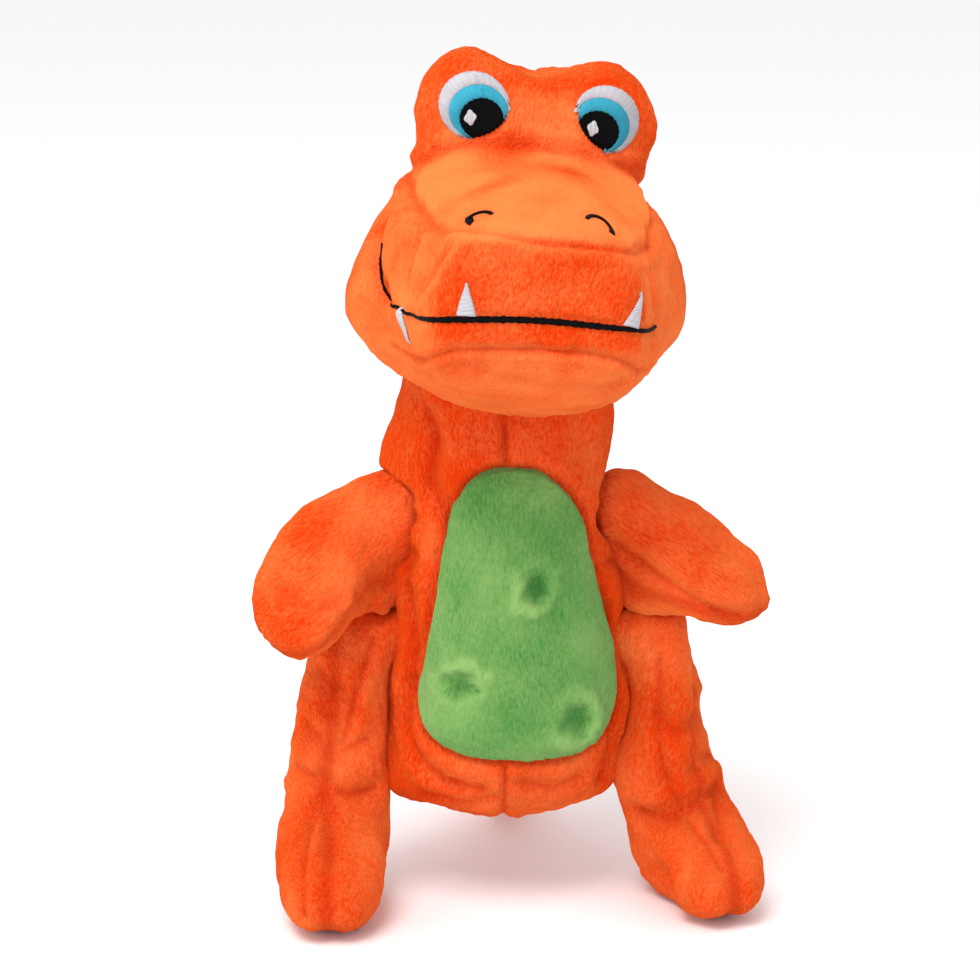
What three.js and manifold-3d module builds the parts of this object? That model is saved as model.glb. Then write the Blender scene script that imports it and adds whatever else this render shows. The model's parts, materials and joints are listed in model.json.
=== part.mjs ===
// A stuffed dinosaur: a sewn plush skin of separate panels over a fibre filling,
// with embroidered eyes, nostrils, mouth and teeth, and limbs sewn on so that they flop.
// Millimetres, +Z up. The dinosaur faces -Y, so its own right side is at -X.
import * as THREE from "three";
import { mergeVertices } from "three/addons/utils/BufferGeometryUtils.js";
import Module from "manifold-3d";

const wasm = await Module();
wasm.setup();

// ---------------------------------------------------------------- driving dimensions
const PLUSH = 2.5; // thickness of the pile fabric
const SEAM = 0.3; // gap between two pieces that meet at a seam
const LOOSE = 0.9; // gap between the skin and its filling
const THREAD = 0.8; // how proud the embroidery stands

const TORSO_BOTTOM = 29; // height of the seat of the body over the floor
const TORSO_HEIGHT = 122; // seat to the neck cut
const TORSO_HALF_WIDTH = 37.3;
const BELLY_DEPTH = 31.5; // centre of the body to the front of the belly
const BACK_DEPTH = 31;

const NECK_HEIGHT = 9; // neck cut to where the neck rounds over inside the head
const NECK_BALL = 20.5; // radius of the rounded top of the neck
const NECK_BALL_HALF_LENGTH = 31;
const PLAY = 1.1; // clearance of a rounded limb root in its pocket
const HEAD_PIVOT_RISE = 12; // pivot above the top of the neck column

const HEAD_HALF_WIDTH = 52; // across the cheeks
const HEAD_HEIGHT = 99; // pivot to the tops of the eye bumps
const SNOUT_LENGTH = 83; // pivot to the front of the lip
const SNOUT_HALF_WIDTH = 34;
const SNOUT_LEFT_SHARE = 0.84; // the snout is squashed in on the dinosaur's left
const HEAD_BACK = 38;
const HEAD_ROLL = 5.5; // degrees, the dinosaur's left side down
const HEAD_YAW = 6; // degrees, the snout towards the dinosaur's left

const PATCH_HALF_WIDTH = 31; // belly patch
const PATCH_BOTTOM = 54;
const PATCH_HEIGHT = 96;

const SHOULDER_RISE = 100; // shoulder over the seat of the body
const ARM_BALL = 14; // rounded inner end of an arm, which it swings on
const SHOULDER_SINK = 0; // how far inside the body's side the arm's pivot lies
const ARM_HALF_WIDTH = 19;
const ARM_HALF_THICKNESS = 10;

const HIP_RISE = 59; // hip over the seat of the body
const LEG_HALF_WIDTH = 14.4;
const LEG_HALF_DEPTH = 17.5;
const LEG_TOP = 13; // hip to the top of the thigh
const LEG_PRESSED = 3; // how much of the leg's inner side is flattened against the body
const HIP_BOSS = 10; // radius of the round root that a leg swings on
const HIP_BOSS_LENGTH = 8;
const FOOT_LENGTH = 60;
const FOOT_HALF_WIDTH = 18;
const FOOT_HEIGHT = 38;

const TAIL_BALL = 14; // rounded root of the tail, which it wags on
const TAIL_SINK = 1; // how far inside the back the tail's pivot lies
const TAIL_RISE = 22; // root of the tail over the seat of the body
const TAIL_LENGTH = 64; // root pivot to tip
const TAIL_TIP_HEIGHT = 8.5;

// ---------------------------------------------------------------- colours
const plush = (color) =>
  new THREE.MeshStandardMaterial({ color, roughness: 0.95, metalness: 0 });
const thread = (color) =>
  new THREE.MeshStandardMaterial({ color, roughness: 0.55, metalness: 0 });
const ORANGE = plush(0xf4641c);
const GREEN = plush(0x66ac52);
const FIBRE = plush(0xf2f0ea);
const WHITE_THREAD = thread(0xe9e6ee);
const BLUE_THREAD = thread(0x35b5d6);
const BLACK_THREAD = thread(0x17151a);

// ---------------------------------------------------------------- solids
const vec = (x, y, z) => new THREE.Vector3(x, y, z);
const X_AXIS = vec(1, 0, 0);
const Y_AXIS = vec(0, 1, 0);
const Z_AXIS = vec(0, 0, 1);
const FAR = 400; // larger than anything that is cut

function solidOf(geometry) {
  const bare = new THREE.BufferGeometry();
  bare.setAttribute("position", geometry.getAttribute("position"));
  if (geometry.index) bare.setIndex(geometry.index);
  const merged = mergeVertices(bare, 1e-3);
  const made = new wasm.Manifold(
    new wasm.Mesh({
      numProp: 3,
      vertProperties: merged.attributes.position.array,
      triVerts: new Uint32Array(merged.index.array),
    }),
  );
  return made;
}

function geometryOf(solid) {
  const mesh = solid.getMesh();
  const places = new Float32Array(mesh.numVert * 3);
  for (let i = 0; i < mesh.numVert; i++)
    places.set(
      mesh.vertProperties.subarray(i * mesh.numProp, i * mesh.numProp + 3),
      i * 3,
    );
  const geometry = new THREE.BufferGeometry();
  geometry.setAttribute("position", new THREE.BufferAttribute(places, 3));
  geometry.setIndex(new THREE.BufferAttribute(mesh.triVerts, 1));
  geometry.computeVertexNormals();
  return geometry;
}

const pieceSize = (solid) => solid.volume();

// The pieces of a solid that a cut has parted, the largest first.
const parted = (solid) =>
  solid.decompose().sort((a, b) => pieceSize(b) - pieceSize(a));
const largest = (solid) => parted(solid)[0];

function boxBetween(low, high) {
  const size = high.clone().sub(low);
  const geometry = new THREE.BoxGeometry(size.x, size.y, size.z);
  geometry.translate(
    (low.x + high.x) / 2,
    (low.y + high.y) / 2,
    (low.z + high.z) / 2,
  );
  return solidOf(geometry);
}

// Everything on the side of a plane that its normal points to.
function halfSpace(point, normal) {
  const geometry = new THREE.BoxGeometry(FAR, FAR, FAR);
  geometry.translate(0, 0, FAR / 2);
  const turn = new THREE.Quaternion().setFromUnitVectors(
    Z_AXIS,
    normal.clone().normalize(),
  );
  geometry.applyQuaternion(turn);
  geometry.translate(point.x, point.y, point.z);
  return solidOf(geometry);
}

// Cuts a solid along a plane and leaves the seam gap between the two sides: [front, behind].
function cutAt(solid, point, normal) {
  const n = normal.clone().normalize();
  const ahead = point.clone().addScaledVector(n, SEAM / 2);
  const behind = point.clone().addScaledVector(n, -SEAM / 2);
  return [
    solid.intersect(halfSpace(ahead, n)),
    solid.intersect(halfSpace(behind, n.negate())),
  ];
}

function cylinderAlong(axis, centre, radius, halfLength, sides = 16) {
  const geometry = new THREE.CylinderGeometry(
    radius,
    radius,
    2 * halfLength,
    sides,
  );
  geometry.applyQuaternion(
    new THREE.Quaternion().setFromUnitVectors(
      Y_AXIS,
      axis.clone().normalize(),
    ),
  );
  geometry.translate(centre.x, centre.y, centre.z);
  return solidOf(geometry);
}

// A flat outline pushed along an axis: "x", "y" or "z". The outline's own plane is
// YZ, XZ or XY, with the axes in that order.
function prism(points, along, from, to) {
  const shape = new THREE.Shape(points.map(([a, b]) => new THREE.Vector2(a, b)));
  const geometry = new THREE.ExtrudeGeometry(shape, {
    depth: to - from,
    bevelEnabled: false,
  });
  const place = geometry.getAttribute("position");
  for (let i = 0; i < place.count; i++) {
    const a = place.getX(i);
    const b = place.getY(i);
    const d = place.getZ(i) + from;
    if (along === "x") place.setXYZ(i, d, a, b);
    if (along === "y") place.setXYZ(i, a, d, b);
    if (along === "z") place.setXYZ(i, a, b, d);
  }
  return facingOut(geometry);
}

// A closed geometry as a solid, turned right way out if its profile ran backwards.
function facingOut(geometry) {
  const solid = solidOf(geometry);
  if (solid.volume() > 0) return solid;
  const index = geometry.index
    ? Array.from(geometry.index.array)
    : Array.from({ length: geometry.getAttribute("position").count }, (_, i) => i);
  for (let i = 0; i < index.length; i += 3)
    [index[i + 1], index[i + 2]] = [index[i + 2], index[i + 1]];
  const turned = new THREE.BufferGeometry();
  turned.setAttribute("position", geometry.getAttribute("position"));
  turned.setIndex(index);
  return solidOf(turned);
}

// Sections moved inwards by a distance measured square to the bag's surface.
function insetBy(sections, by) {
  if (by === 0) return sections;
  const last = sections.length - 1;
  const half = (s, way) => (s[way] ? (s[way][0] + s[way][1]) / 2 : 0);
  return sections.map((s, i) => {
    const before = sections[Math.max(i - 1, 0)];
    const after = sections[Math.min(i + 1, last)];
    const along = after.centre.clone().sub(before.centre);
    const run = along.length();
    along.divideScalar(run);
    if (i === 0) return { centre: s.centre.clone().addScaledVector(along, by) };
    if (i === last) return { centre: s.centre.clone().addScaledVector(along, -by) };
    const slopeU = (half(after, "u") - half(before, "u")) / run;
    const slopeV = (half(after, "v") - half(before, "v")) / run;
    const slope = (slopeU + slopeV) / 2;
    const shift = (by * slope) / Math.hypot(1, slope);
    const narrowed = (reach, rise) =>
      Math.max(reach + rise * shift - by * Math.hypot(1, rise), 0.3);
    return {
      ...s,
      centre: s.centre.clone().addScaledVector(along, shift),
      u: s.u.map((reach) => narrowed(reach, slopeU)),
      v: s.v.map((reach) => narrowed(reach, slopeV)),
    };
  });
}

// A smooth bag through cross-sections. Each section gives its centre, the two directions
// it lies in, its reach each way along them, how square it is (2 is an ellipse), and how
// much narrower it is at the top than in the middle. The first and last are single points.
function loft(bag, around, inset = 0) {
  const sections = insetBy(bag, inset);
  const places = [];
  const faces = [];
  const first = sections[0];
  const last = sections[sections.length - 1];
  const rings = sections.slice(1, -1);
  for (const s of rings)
    for (let i = 0; i < around; i++) {
      const angle = (2 * Math.PI * i) / around;
      const c = Math.cos(angle);
      const d = Math.sin(angle);
      const rise = Math.sign(d) * Math.abs(d) ** (2 / s.square);
      const reachU = (c > 0 ? s.u[1] : s.u[0]) * (1 - (s.taper || 0) * rise);
      const reachV = d > 0 ? s.v[1] : s.v[0];
      const p = s.centre
        .clone()
        .addScaledVector(s.alongU, Math.sign(c) * reachU * Math.abs(c) ** (2 / s.square))
        .addScaledVector(s.alongV, reachV * rise);
      places.push(p.x, p.y, p.z);
    }
  const startPole = places.length / 3;
  places.push(first.centre.x, first.centre.y, first.centre.z);
  places.push(last.centre.x, last.centre.y, last.centre.z);
  for (let i = 0; i < around; i++) {
    const next = (i + 1) % around;
    const top = (rings.length - 1) * around;
    faces.push(startPole, next, i);
    faces.push(startPole + 1, top + i, top + next);
    for (let r = 0; r < rings.length - 1; r++) {
      const a = r * around;
      const b = a + around;
      faces.push(a + i, a + next, b + next);
      faces.push(a + i, b + next, b + i);
    }
  }
  const geometry = new THREE.BufferGeometry();
  geometry.setAttribute(
    "position",
    new THREE.BufferAttribute(new Float32Array(places), 3),
  );
  geometry.setIndex(faces);
  return facingOut(geometry);
}

function sphereAt(centre, radius) {
  const geometry = new THREE.SphereGeometry(radius, 12, 8);
  geometry.translate(centre.x, centre.y, centre.z);
  return solidOf(geometry);
}

const root = new THREE.Group();
const headGroup = new THREE.Group();
root.add(headGroup);

// Edges that move the surface by less than this are merged away.
const SLIVER = 0.1;
const SLIVER_INSIDE = 0.35;

function addPiece(group, name, solid, material) {
  const sliver = material === FIBRE ? SLIVER_INSIDE : SLIVER;
  const mesh = new THREE.Mesh(geometryOf(solid.simplify(sliver)), material);
  mesh.name = name;
  group.add(mesh);
}

// ---------------------------------------------------------------- torso and neck
const neckCut = TORSO_BOTTOM + TORSO_HEIGHT;
const neckTop = neckCut + NECK_HEIGHT;

// Height as a share of the torso, then width, front and back as shares of the largest.
const TORSO_PROFILE = [
  [0, 0, 0, 0],
  [0.018, 0.43, 0.38, 0.39],
  [0.058, 0.75, 0.64, 0.61],
  [0.139, 0.93, 0.86, 0.84],
  [0.268, 1, 0.985, 0.97],
  [0.418, 1, 1, 1],
  [0.563, 0.985, 0.935, 0.97],
  [0.713, 0.97, 0.86, 0.9],
  [0.86, 0.95, 0.79, 0.84],
  [1, 0.92, 0.73, 0.79],
  [1.09, 0.89, 0.66, 0.7],
];
const TORSO_SQUARE = 2.3;

function bodyBag(inset) {
  const sections = TORSO_PROFILE.map(([share, width, front, back]) => ({
    centre: vec(0, 0, TORSO_BOTTOM + share * TORSO_HEIGHT),
    alongU: X_AXIS,
    alongV: Y_AXIS,
    u: [TORSO_HALF_WIDTH * width, TORSO_HALF_WIDTH * width],
    v: [BELLY_DEPTH * front, BACK_DEPTH * back],
    square: TORSO_SQUARE,
  }));
  const top = sections[sections.length - 1].centre.clone();
  top.z += 2 * PLUSH;
  sections.push({ centre: top });
  return loft(sections, 16, inset);
}

// The half width of the torso at a height.
function torsoReach(height) {
  const share = (height - TORSO_BOTTOM) / TORSO_HEIGHT;
  const after = TORSO_PROFILE.findIndex(([s]) => s >= share);
  const [s0, w0] = TORSO_PROFILE[after - 1];
  const [s1, w1] = TORSO_PROFILE[after];
  return TORSO_HALF_WIDTH * THREE.MathUtils.mapLinear(share, s0, s1, w0, w1);
}

// The limbs swing on rounded roots that sit in pockets of the body.
const shoulderHeight = TORSO_BOTTOM + SHOULDER_RISE;
const shoulderX = torsoReach(shoulderHeight) - SHOULDER_SINK;
const shoulders = {
  right: vec(-shoulderX, 0, shoulderHeight),
  left: vec(shoulderX, 0, shoulderHeight),
};
const hipHeight = TORSO_BOTTOM + HIP_RISE;
const hipWall = TORSO_HALF_WIDTH + 2 * SEAM;
const hipBossX = hipWall - HIP_BOSS_LENGTH / 2;
const tailRootHeight = TORSO_BOTTOM + TAIL_RISE;
const tailPivot = vec(0, 0.93 * BACK_DEPTH - TAIL_SINK, tailRootHeight);
const pockets = sphereAt(shoulders.left, ARM_BALL + PLAY)
  .add(sphereAt(shoulders.right, ARM_BALL + PLAY))
  .add(sphereAt(tailPivot, TAIL_BALL + PLAY))
  .add(
    cylinderAlong(
      X_AXIS,
      vec(hipBossX, 0, hipHeight),
      HIP_BOSS + PLAY,
      HIP_BOSS_LENGTH / 2 + PLAY,
    ),
  )
  .add(
    cylinderAlong(
      X_AXIS,
      vec(-hipBossX, 0, hipHeight),
      HIP_BOSS + PLAY,
      HIP_BOSS_LENGTH / 2 + PLAY,
    ),
  );

const bodySkin = bodyBag(0).subtract(bodyBag(PLUSH));
const bodyCore = bodyBag(PLUSH + LOOSE);
const [, torsoSkin] = cutAt(bodySkin.subtract(pockets), vec(0, 0, neckCut), Z_AXIS);
const [, torsoCore] = cutAt(bodyCore.subtract(pockets), vec(0, 0, neckCut), Z_AXIS);

// The belly patch is a pear-shaped oval let into the front of the skin.
function patchOutline(grow) {
  const points = [];
  const sides = 22;
  const squared = (part) => Math.sign(part) * Math.abs(part) ** 0.85;
  for (let i = 0; i < sides; i++) {
    const angle = (2 * Math.PI * i) / sides;
    const up = squared(Math.sin(angle));
    const slimming = 0.92 - 0.2 * up;
    points.push([
      (PATCH_HALF_WIDTH + grow) * slimming * squared(Math.cos(angle)),
      PATCH_BOTTOM + PATCH_HEIGHT / 2 + (PATCH_HEIGHT / 2 + grow) * up,
    ]);
  }
  return points;
}
const SIDE_SEAM = 2; // how far behind the middle the side seams of the body run
const patchHole = prism(patchOutline(SEAM), "y", -FAR, 0);
const patch = largest(torsoSkin.intersect(prism(patchOutline(0), "y", -FAR, 0)));
const [backSkin, frontSkin] = cutAt(torsoSkin, vec(0, SIDE_SEAM, 0), Y_AXIS);
const [backLeft, backRight] = cutAt(backSkin, vec(0, 0, 0), X_AXIS);
const [frontLeft, frontRight] = cutAt(
  frontSkin.subtract(patchHole),
  vec(0, 0, 0),
  X_AXIS,
);
addPiece(root, "chest_panel_left", largest(frontLeft), ORANGE);
addPiece(root, "chest_panel_right", largest(frontRight), ORANGE);
addPiece(root, "back_panel_left", largest(backLeft), ORANGE);
addPiece(root, "back_panel_right", largest(backRight), ORANGE);
addPiece(root, "belly_patch", patch, GREEN);
addPiece(root, "torso_filling", torsoCore, FIBRE);

// The head nods on the rounded top of the neck, about the head's own left-right axis.
const headTurn = new THREE.Quaternion()
  .setFromAxisAngle(Z_AXIS, THREE.MathUtils.degToRad(HEAD_YAW))
  .multiply(
    new THREE.Quaternion().setFromAxisAngle(
      Y_AXIS,
      THREE.MathUtils.degToRad(HEAD_ROLL),
    ),
  );
const headPivot = vec(0, 0, neckTop + HEAD_PIVOT_RISE);
const nodAxis = X_AXIS.clone().applyQuaternion(headTurn);
headGroup.position.copy(headPivot);
headGroup.quaternion.copy(headTurn);

// The neck is a short column that rounds over inside the head.
const neckBag = (inset) =>
  bodyBag(inset).add(
    cylinderAlong(nodAxis, headPivot, NECK_BALL - inset, NECK_BALL_HALF_LENGTH - inset),
  );
const [neckSkin] = cutAt(neckBag(0).subtract(neckBag(PLUSH)), vec(0, 0, neckCut), Z_AXIS);
const [neckFilling] = cutAt(neckBag(PLUSH + LOOSE), vec(0, 0, neckCut), Z_AXIS);
const [neckBack, neckFront] = cutAt(neckSkin, vec(0, SIDE_SEAM, 0), Y_AXIS);
addPiece(root, "neck_panel_front", largest(neckFront), ORANGE);
addPiece(root, "neck_panel_back", largest(neckBack), ORANGE);
addPiece(root, "neck_filling", largest(neckFilling), FIBRE);

// ---------------------------------------------------------------- head, in its own frame
// The muzzle runs along Y: place as a share of the snout's length (ahead, negative) or of
// the head's back, then half width, top, bottom and squareness.
const S = SNOUT_LENGTH;
const W = HEAD_HALF_WIDTH;
const M = SNOUT_HALF_WIDTH;
const H = HEAD_HEIGHT;
const MUZZLE_PROFILE = [
  [HEAD_BACK, 0, 0.36 * H, 0.36 * H, 2],
  [0.93 * HEAD_BACK, 0.35 * W, 0.56 * H, 0.16 * H, 2],
  [0.72 * HEAD_BACK, 0.66 * W, 0.66 * H, 0.02 * H, 2],
  [0.35 * HEAD_BACK, 0.9 * W, 0.7 * H, -0.04 * H, 2.15],
  [-0.06 * S, 0.99 * W, 0.73 * H, -0.05 * H, 2.2],
  [-0.28 * S, 0.96 * W, 0.71 * H, -0.06 * H, 2.2],
  [-0.44 * S, 0.5 * W + 0.48 * M, 0.695 * H, -0.045 * H, 2.3],
  [-0.58 * S, 0.12 * W + 0.97 * M, 0.68 * H, -0.01 * H, 2.5],
  [-0.72 * S, 1.08 * M, 0.66 * H, 0.045 * H, 2.8],
  [-0.87 * S, 1.04 * M, 0.625 * H, 0.105 * H, 3.2],
  [-0.95 * S, 0.95 * M, 0.595 * H, 0.155 * H, 3.2],
  [-0.99 * S, 0.7 * M, 0.53 * H, 0.22 * H, 2.8],
  [-S, 0, 0.37 * H, 0.37 * H, 2],
];
const MUZZLE_TAPER = 0.14;
const CROWN_HALF_WIDTH = 36.5;
const CROWN_FRONT = 15;
const CROWN_BACK = 28;
const CROWN_PROFILE = [
  [0.3, 0, 2],
  [0.34, 0.8, 2.5],
  [0.55, 0.99, 2.5],
  [0.72, 1, 2.5],
  [0.83, 0.96, 2.4],
  [0.9, 0.84, 2.3],
  [0.945, 0.6, 2.2],
  [0.962, 0, 2],
];
const BUMP_X = 20;
const BUMP_RADII = [16.5, 17, 20];

function leftShare(y) {
  const ahead = THREE.MathUtils.clamp((-y / S - 0.44) / 0.28, 0, 1);
  return 1 - (1 - SNOUT_LEFT_SHARE) * ahead;
}

function muzzle(inset) {
  return loft(
    MUZZLE_PROFILE.map(([y, halfWidth, top, bottom, square]) => ({
      centre: vec(0, y, (top + bottom) / 2),
      alongU: X_AXIS,
      alongV: Z_AXIS,
      u: [halfWidth, halfWidth * leftShare(y)],
      v: [(top - bottom) / 2, (top - bottom) / 2],
      square,
      taper: MUZZLE_TAPER,
    })),
    20,
    inset,
  );
}

function crown(inset) {
  return loft(
    CROWN_PROFILE.map(([height, share, square]) => ({
      centre: vec(0, 0, height * H),
      alongU: X_AXIS,
      alongV: Y_AXIS,
      u: [CROWN_HALF_WIDTH * share, CROWN_HALF_WIDTH * share],
      v: [CROWN_FRONT * share, CROWN_BACK * share],
      square,
    })),
    14,
    inset,
  );
}

function eyeBump(side, inset) {
  const [rx, ry, rz] = BUMP_RADII;
  const geometry = new THREE.SphereGeometry(1, 12, 8);
  geometry.scale(rx - inset, ry - inset, rz - inset);
  geometry.translate(side * BUMP_X, 2, HEAD_HEIGHT - rz);
  return solidOf(geometry);
}

const headBag = (inset) =>
  muzzle(inset).add(crown(inset)).add(eyeBump(-1, inset)).add(eyeBump(1, inset));

const socket = cylinderAlong(
  X_AXIS,
  vec(0, 0, 0),
  NECK_BALL + PLAY,
  NECK_BALL_HALF_LENGTH + PLAY,
);
const headOuter = headBag(0);
const headSkin = headOuter.subtract(headBag(PLUSH)).subtract(socket);
const headFilling = headBag(PLUSH + LOOSE).subtract(socket);

// The seams of the head: across behind the crown, under the brow, round the snout's top
// and along the lip.
const BACK_SEAM_Y = 12;
const BROW_SEAM = vec(0, -CROWN_FRONT, 0.72 * HEAD_HEIGHT);
const [backHead, frontHead] = cutAt(headSkin, vec(0, BACK_SEAM_Y, 0), Y_AXIS);
const [headBackLeft, headBackRight] = cutAt(backHead, vec(0, 0, 0), X_AXIS);
const [brow, face] = cutAt(frontHead, BROW_SEAM, vec(0, 0.12, 1));
const [jawless, chin] = cutAt(
  face,
  vec(0, -SNOUT_LENGTH, 0.23 * HEAD_HEIGHT),
  vec(0, 0.22, 1),
);
const topEdge = vec(0, -SNOUT_LENGTH, 0.56 * HEAD_HEIGHT);
const [aboveEdge, belowEdge] = cutAt(jawless, topEdge, vec(0, 0.05, 1));
// The snout's top panel lies between two seams that run back from the corners of the nose.
const cornerX = 0.9 * SNOUT_HALF_WIDTH;
const leftCorner = vec(cornerX, -SNOUT_LENGTH, 0);
const rightCorner = vec(-cornerX, -SNOUT_LENGTH, 0);
const outLeft = vec(1, -0.08, 0);
const outRight = vec(-1, -0.08, 0);
const [topLeftRest, topInner] = cutAt(aboveEdge, leftCorner, outLeft);
const [topRightRest, snoutTop] = cutAt(topInner, rightCorner, outRight);
const [lowLeft, lowInner] = cutAt(belowEdge, leftCorner, outLeft);
const [lowRight, lowMiddle] = cutAt(lowInner, rightCorner, outRight);
// A cheek is one panel from the brow to the lip, so its two cuts are sewn back together.
const edgeStrip = (side) =>
  jawless.intersect(
    side > 0
      ? halfSpace(leftCorner.clone().addScaledVector(outLeft.clone().normalize(), SEAM / 2), outLeft)
      : halfSpace(rightCorner.clone().addScaledVector(outRight.clone().normalize(), SEAM / 2), outRight),
  );
addPiece(headGroup, "head_back_left", largest(headBackLeft), ORANGE);
addPiece(headGroup, "head_back_right", largest(headBackRight), ORANGE);
addPiece(headGroup, "brow_panel", largest(brow), ORANGE);
addPiece(headGroup, "snout_top_panel", largest(snoutTop), ORANGE);
addPiece(headGroup, "muzzle_front_panel", largest(lowMiddle), ORANGE);
addPiece(headGroup, "cheek_panel_left", largest(edgeStrip(1)), ORANGE);
addPiece(headGroup, "cheek_panel_right", largest(edgeStrip(-1)), ORANGE);
addPiece(headGroup, "chin_panel", largest(chin), ORANGE);
addPiece(headGroup, "head_filling", largest(headFilling), FIBRE);

// ---------------------------------------------------------------- embroidery, on the head
const stitched = headBag(-SEAM - THREAD).subtract(headBag(-SEAM));

// An eye is a white oval, a blue iris, a black pupil and a white glint, all closed off
// below by one curved lid. Offsets are from the eye's centre; positive is towards the nose.
const EYE_X = 19.8;
const EYE_Z = 0.848 * HEAD_HEIGHT;
const EYE_RINGS = {
  white: { across: 0, up: 0, halfWidth: 11.2, halfHeight: 10.6 },
  iris: { across: 1.6, up: -1.9, halfWidth: 9.7, halfHeight: 8.8 },
  pupil: { across: 2.6, up: -4.0, halfWidth: 7.5, halfHeight: 6.7 },
  glint: { across: -2.2, up: -3.0, halfWidth: 2.2, halfHeight: 2.7 },
};
const LID = { across: -2.9, up: 5.7, radius: 16 };

function eyeOutline(ring, side, grow) {
  const sides = 16;
  const points = [];
  for (let i = 0; i < sides; i++) {
    const angle = (2 * Math.PI * i) / sides;
    const p = new THREE.Vector2(
      ring.across + (ring.halfWidth + grow) * Math.cos(angle),
      ring.up + (ring.halfHeight + grow) * Math.sin(angle),
    );
    const fromLid = p.clone().sub(new THREE.Vector2(LID.across, LID.up));
    if (fromLid.length() > LID.radius + grow)
      p.copy(fromLid.setLength(LID.radius + grow)).add(
        new THREE.Vector2(LID.across, LID.up),
      );
    points.push([side * (EYE_X - p.x), EYE_Z + p.y]);
  }
  return points;
}

const eyePrism = (ring, side, grow) => prism(eyeOutline(ring, side, grow), "y", -FAR, 0);

for (const [side, name] of [
  [1, "left"],
  [-1, "right"],
]) {
  const { white, iris, pupil, glint } = EYE_RINGS;
  const layer = (ring, inner) =>
    largest(
      stitched.intersect(eyePrism(ring, side, 0)).subtract(eyePrism(inner, side, SEAM)),
    );
  addPiece(headGroup, `eye_white_${name}`, layer(white, iris), WHITE_THREAD);
  addPiece(headGroup, `eye_iris_${name}`, layer(iris, pupil), BLUE_THREAD);
  addPiece(headGroup, `eye_pupil_${name}`, layer(pupil, glint), BLACK_THREAD);
  addPiece(
    headGroup,
    `eye_glint_${name}`,
    largest(stitched.intersect(eyePrism(glint, side, 0))),
    WHITE_THREAD,
  );
}

// A band of thread along a line: the line, half a thread to each side.
function band(line, halfWidth) {
  const near = [];
  const far = [];
  line.forEach(([a, b], i) => {
    const [pa, pb] = line[Math.max(i - 1, 0)];
    const [na, nb] = line[Math.min(i + 1, line.length - 1)];
    const along = new THREE.Vector2(na - pa, nb - pb).normalize();
    near.push([a - along.y * halfWidth, b + along.x * halfWidth]);
    far.unshift([a + along.y * halfWidth, b - along.x * halfWidth]);
  });
  return [...near, ...far];
}

// The mouth runs level across the front and rises along both cheeks: [y, z] seen from the side.
const MOUTH_Z = 0.335 * HEAD_HEIGHT;
const MOUTH_LINE = [
  [-1.2 * SNOUT_LENGTH, MOUTH_Z],
  [-0.85 * SNOUT_LENGTH, MOUTH_Z - 1],
  [-0.7 * SNOUT_LENGTH, MOUTH_Z + 0.8],
  [-0.53 * SNOUT_LENGTH, MOUTH_Z + 4.5],
  [-0.38 * SNOUT_LENGTH, MOUTH_Z + 10.5],
];
const MOUTH_HALF = 1.05;
const mouthBand = prism(band(MOUTH_LINE, MOUTH_HALF), "x", -FAR, FAR);
const mouthClear = prism(band(MOUTH_LINE, MOUTH_HALF + SEAM), "x", -FAR, FAR);
addPiece(headGroup, "mouth_line", largest(stitched.intersect(mouthBand)), BLACK_THREAD);

// Nostrils are short arcs on top of the snout: [x, y] seen from above.
const NOSTRIL_X = 17.5;
const NOSTRIL_MIDDLE = -4.7;
const NOSTRIL_Y = -0.79 * SNOUT_LENGTH;
const NOSTRIL_HALF_SPAN = 5;
const NOSTRIL_DEPTH = 5.5;
for (const [side, name] of [
  [1, "left"],
  [-1, "right"],
]) {
  const arc = [];
  for (let i = 0; i <= 8; i++) {
    const angle = Math.PI * (0.05 + (0.9 * i) / 8);
    arc.push([
      NOSTRIL_MIDDLE + side * NOSTRIL_X + NOSTRIL_HALF_SPAN * Math.cos(angle),
      NOSTRIL_Y + NOSTRIL_DEPTH * Math.sin(angle),
    ]);
  }
  const slot = prism(band(arc, 0.95), "z", 0.45 * HEAD_HEIGHT, FAR);
  addPiece(headGroup, `nostril_${name}`, largest(stitched.intersect(slot)), BLACK_THREAD);
}

// Teeth are white triangles that stand on the mouth line, two up and two down.
const UPPER_TEETH = { left: 23, right: -24.5 };
const TOOTH_HALF_WIDTH = 3.4;
const TOOTH_HEIGHT = 9;
for (const [name, x] of Object.entries(UPPER_TEETH)) {
  const outline = [
    [x - TOOTH_HALF_WIDTH, MOUTH_Z - 1],
    [x + TOOTH_HALF_WIDTH, MOUTH_Z - 1],
    [x, MOUTH_Z + TOOTH_HEIGHT],
  ];
  const cut = stitched.intersect(prism(outline, "y", -FAR, -0.5 * SNOUT_LENGTH));
  addPiece(
    headGroup,
    `tooth_upper_${name}`,
    largest(cut.subtract(mouthClear)),
    WHITE_THREAD,
  );
}
const LOWER_TOOTH_Y = -0.74 * SNOUT_LENGTH;
for (const [side, name] of [
  [1, "left"],
  [-1, "right"],
]) {
  const outline = [
    [LOWER_TOOTH_Y - TOOTH_HALF_WIDTH, MOUTH_Z + 2],
    [LOWER_TOOTH_Y + TOOTH_HALF_WIDTH, MOUTH_Z + 2],
    [LOWER_TOOTH_Y, MOUTH_Z - TOOTH_HEIGHT],
  ];
  const reach = side > 0 ? [0, FAR] : [-FAR, 0];
  const cut = stitched.intersect(prism(outline, "x", ...reach));
  const below = cut.subtract(mouthClear);
  const lower = parted(below).sort(
    (a, b) => a.boundingBox().min[2] - b.boundingBox().min[2],
  )[0];
  addPiece(headGroup, `tooth_lower_${name}`, lower, WHITE_THREAD);
}

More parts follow.
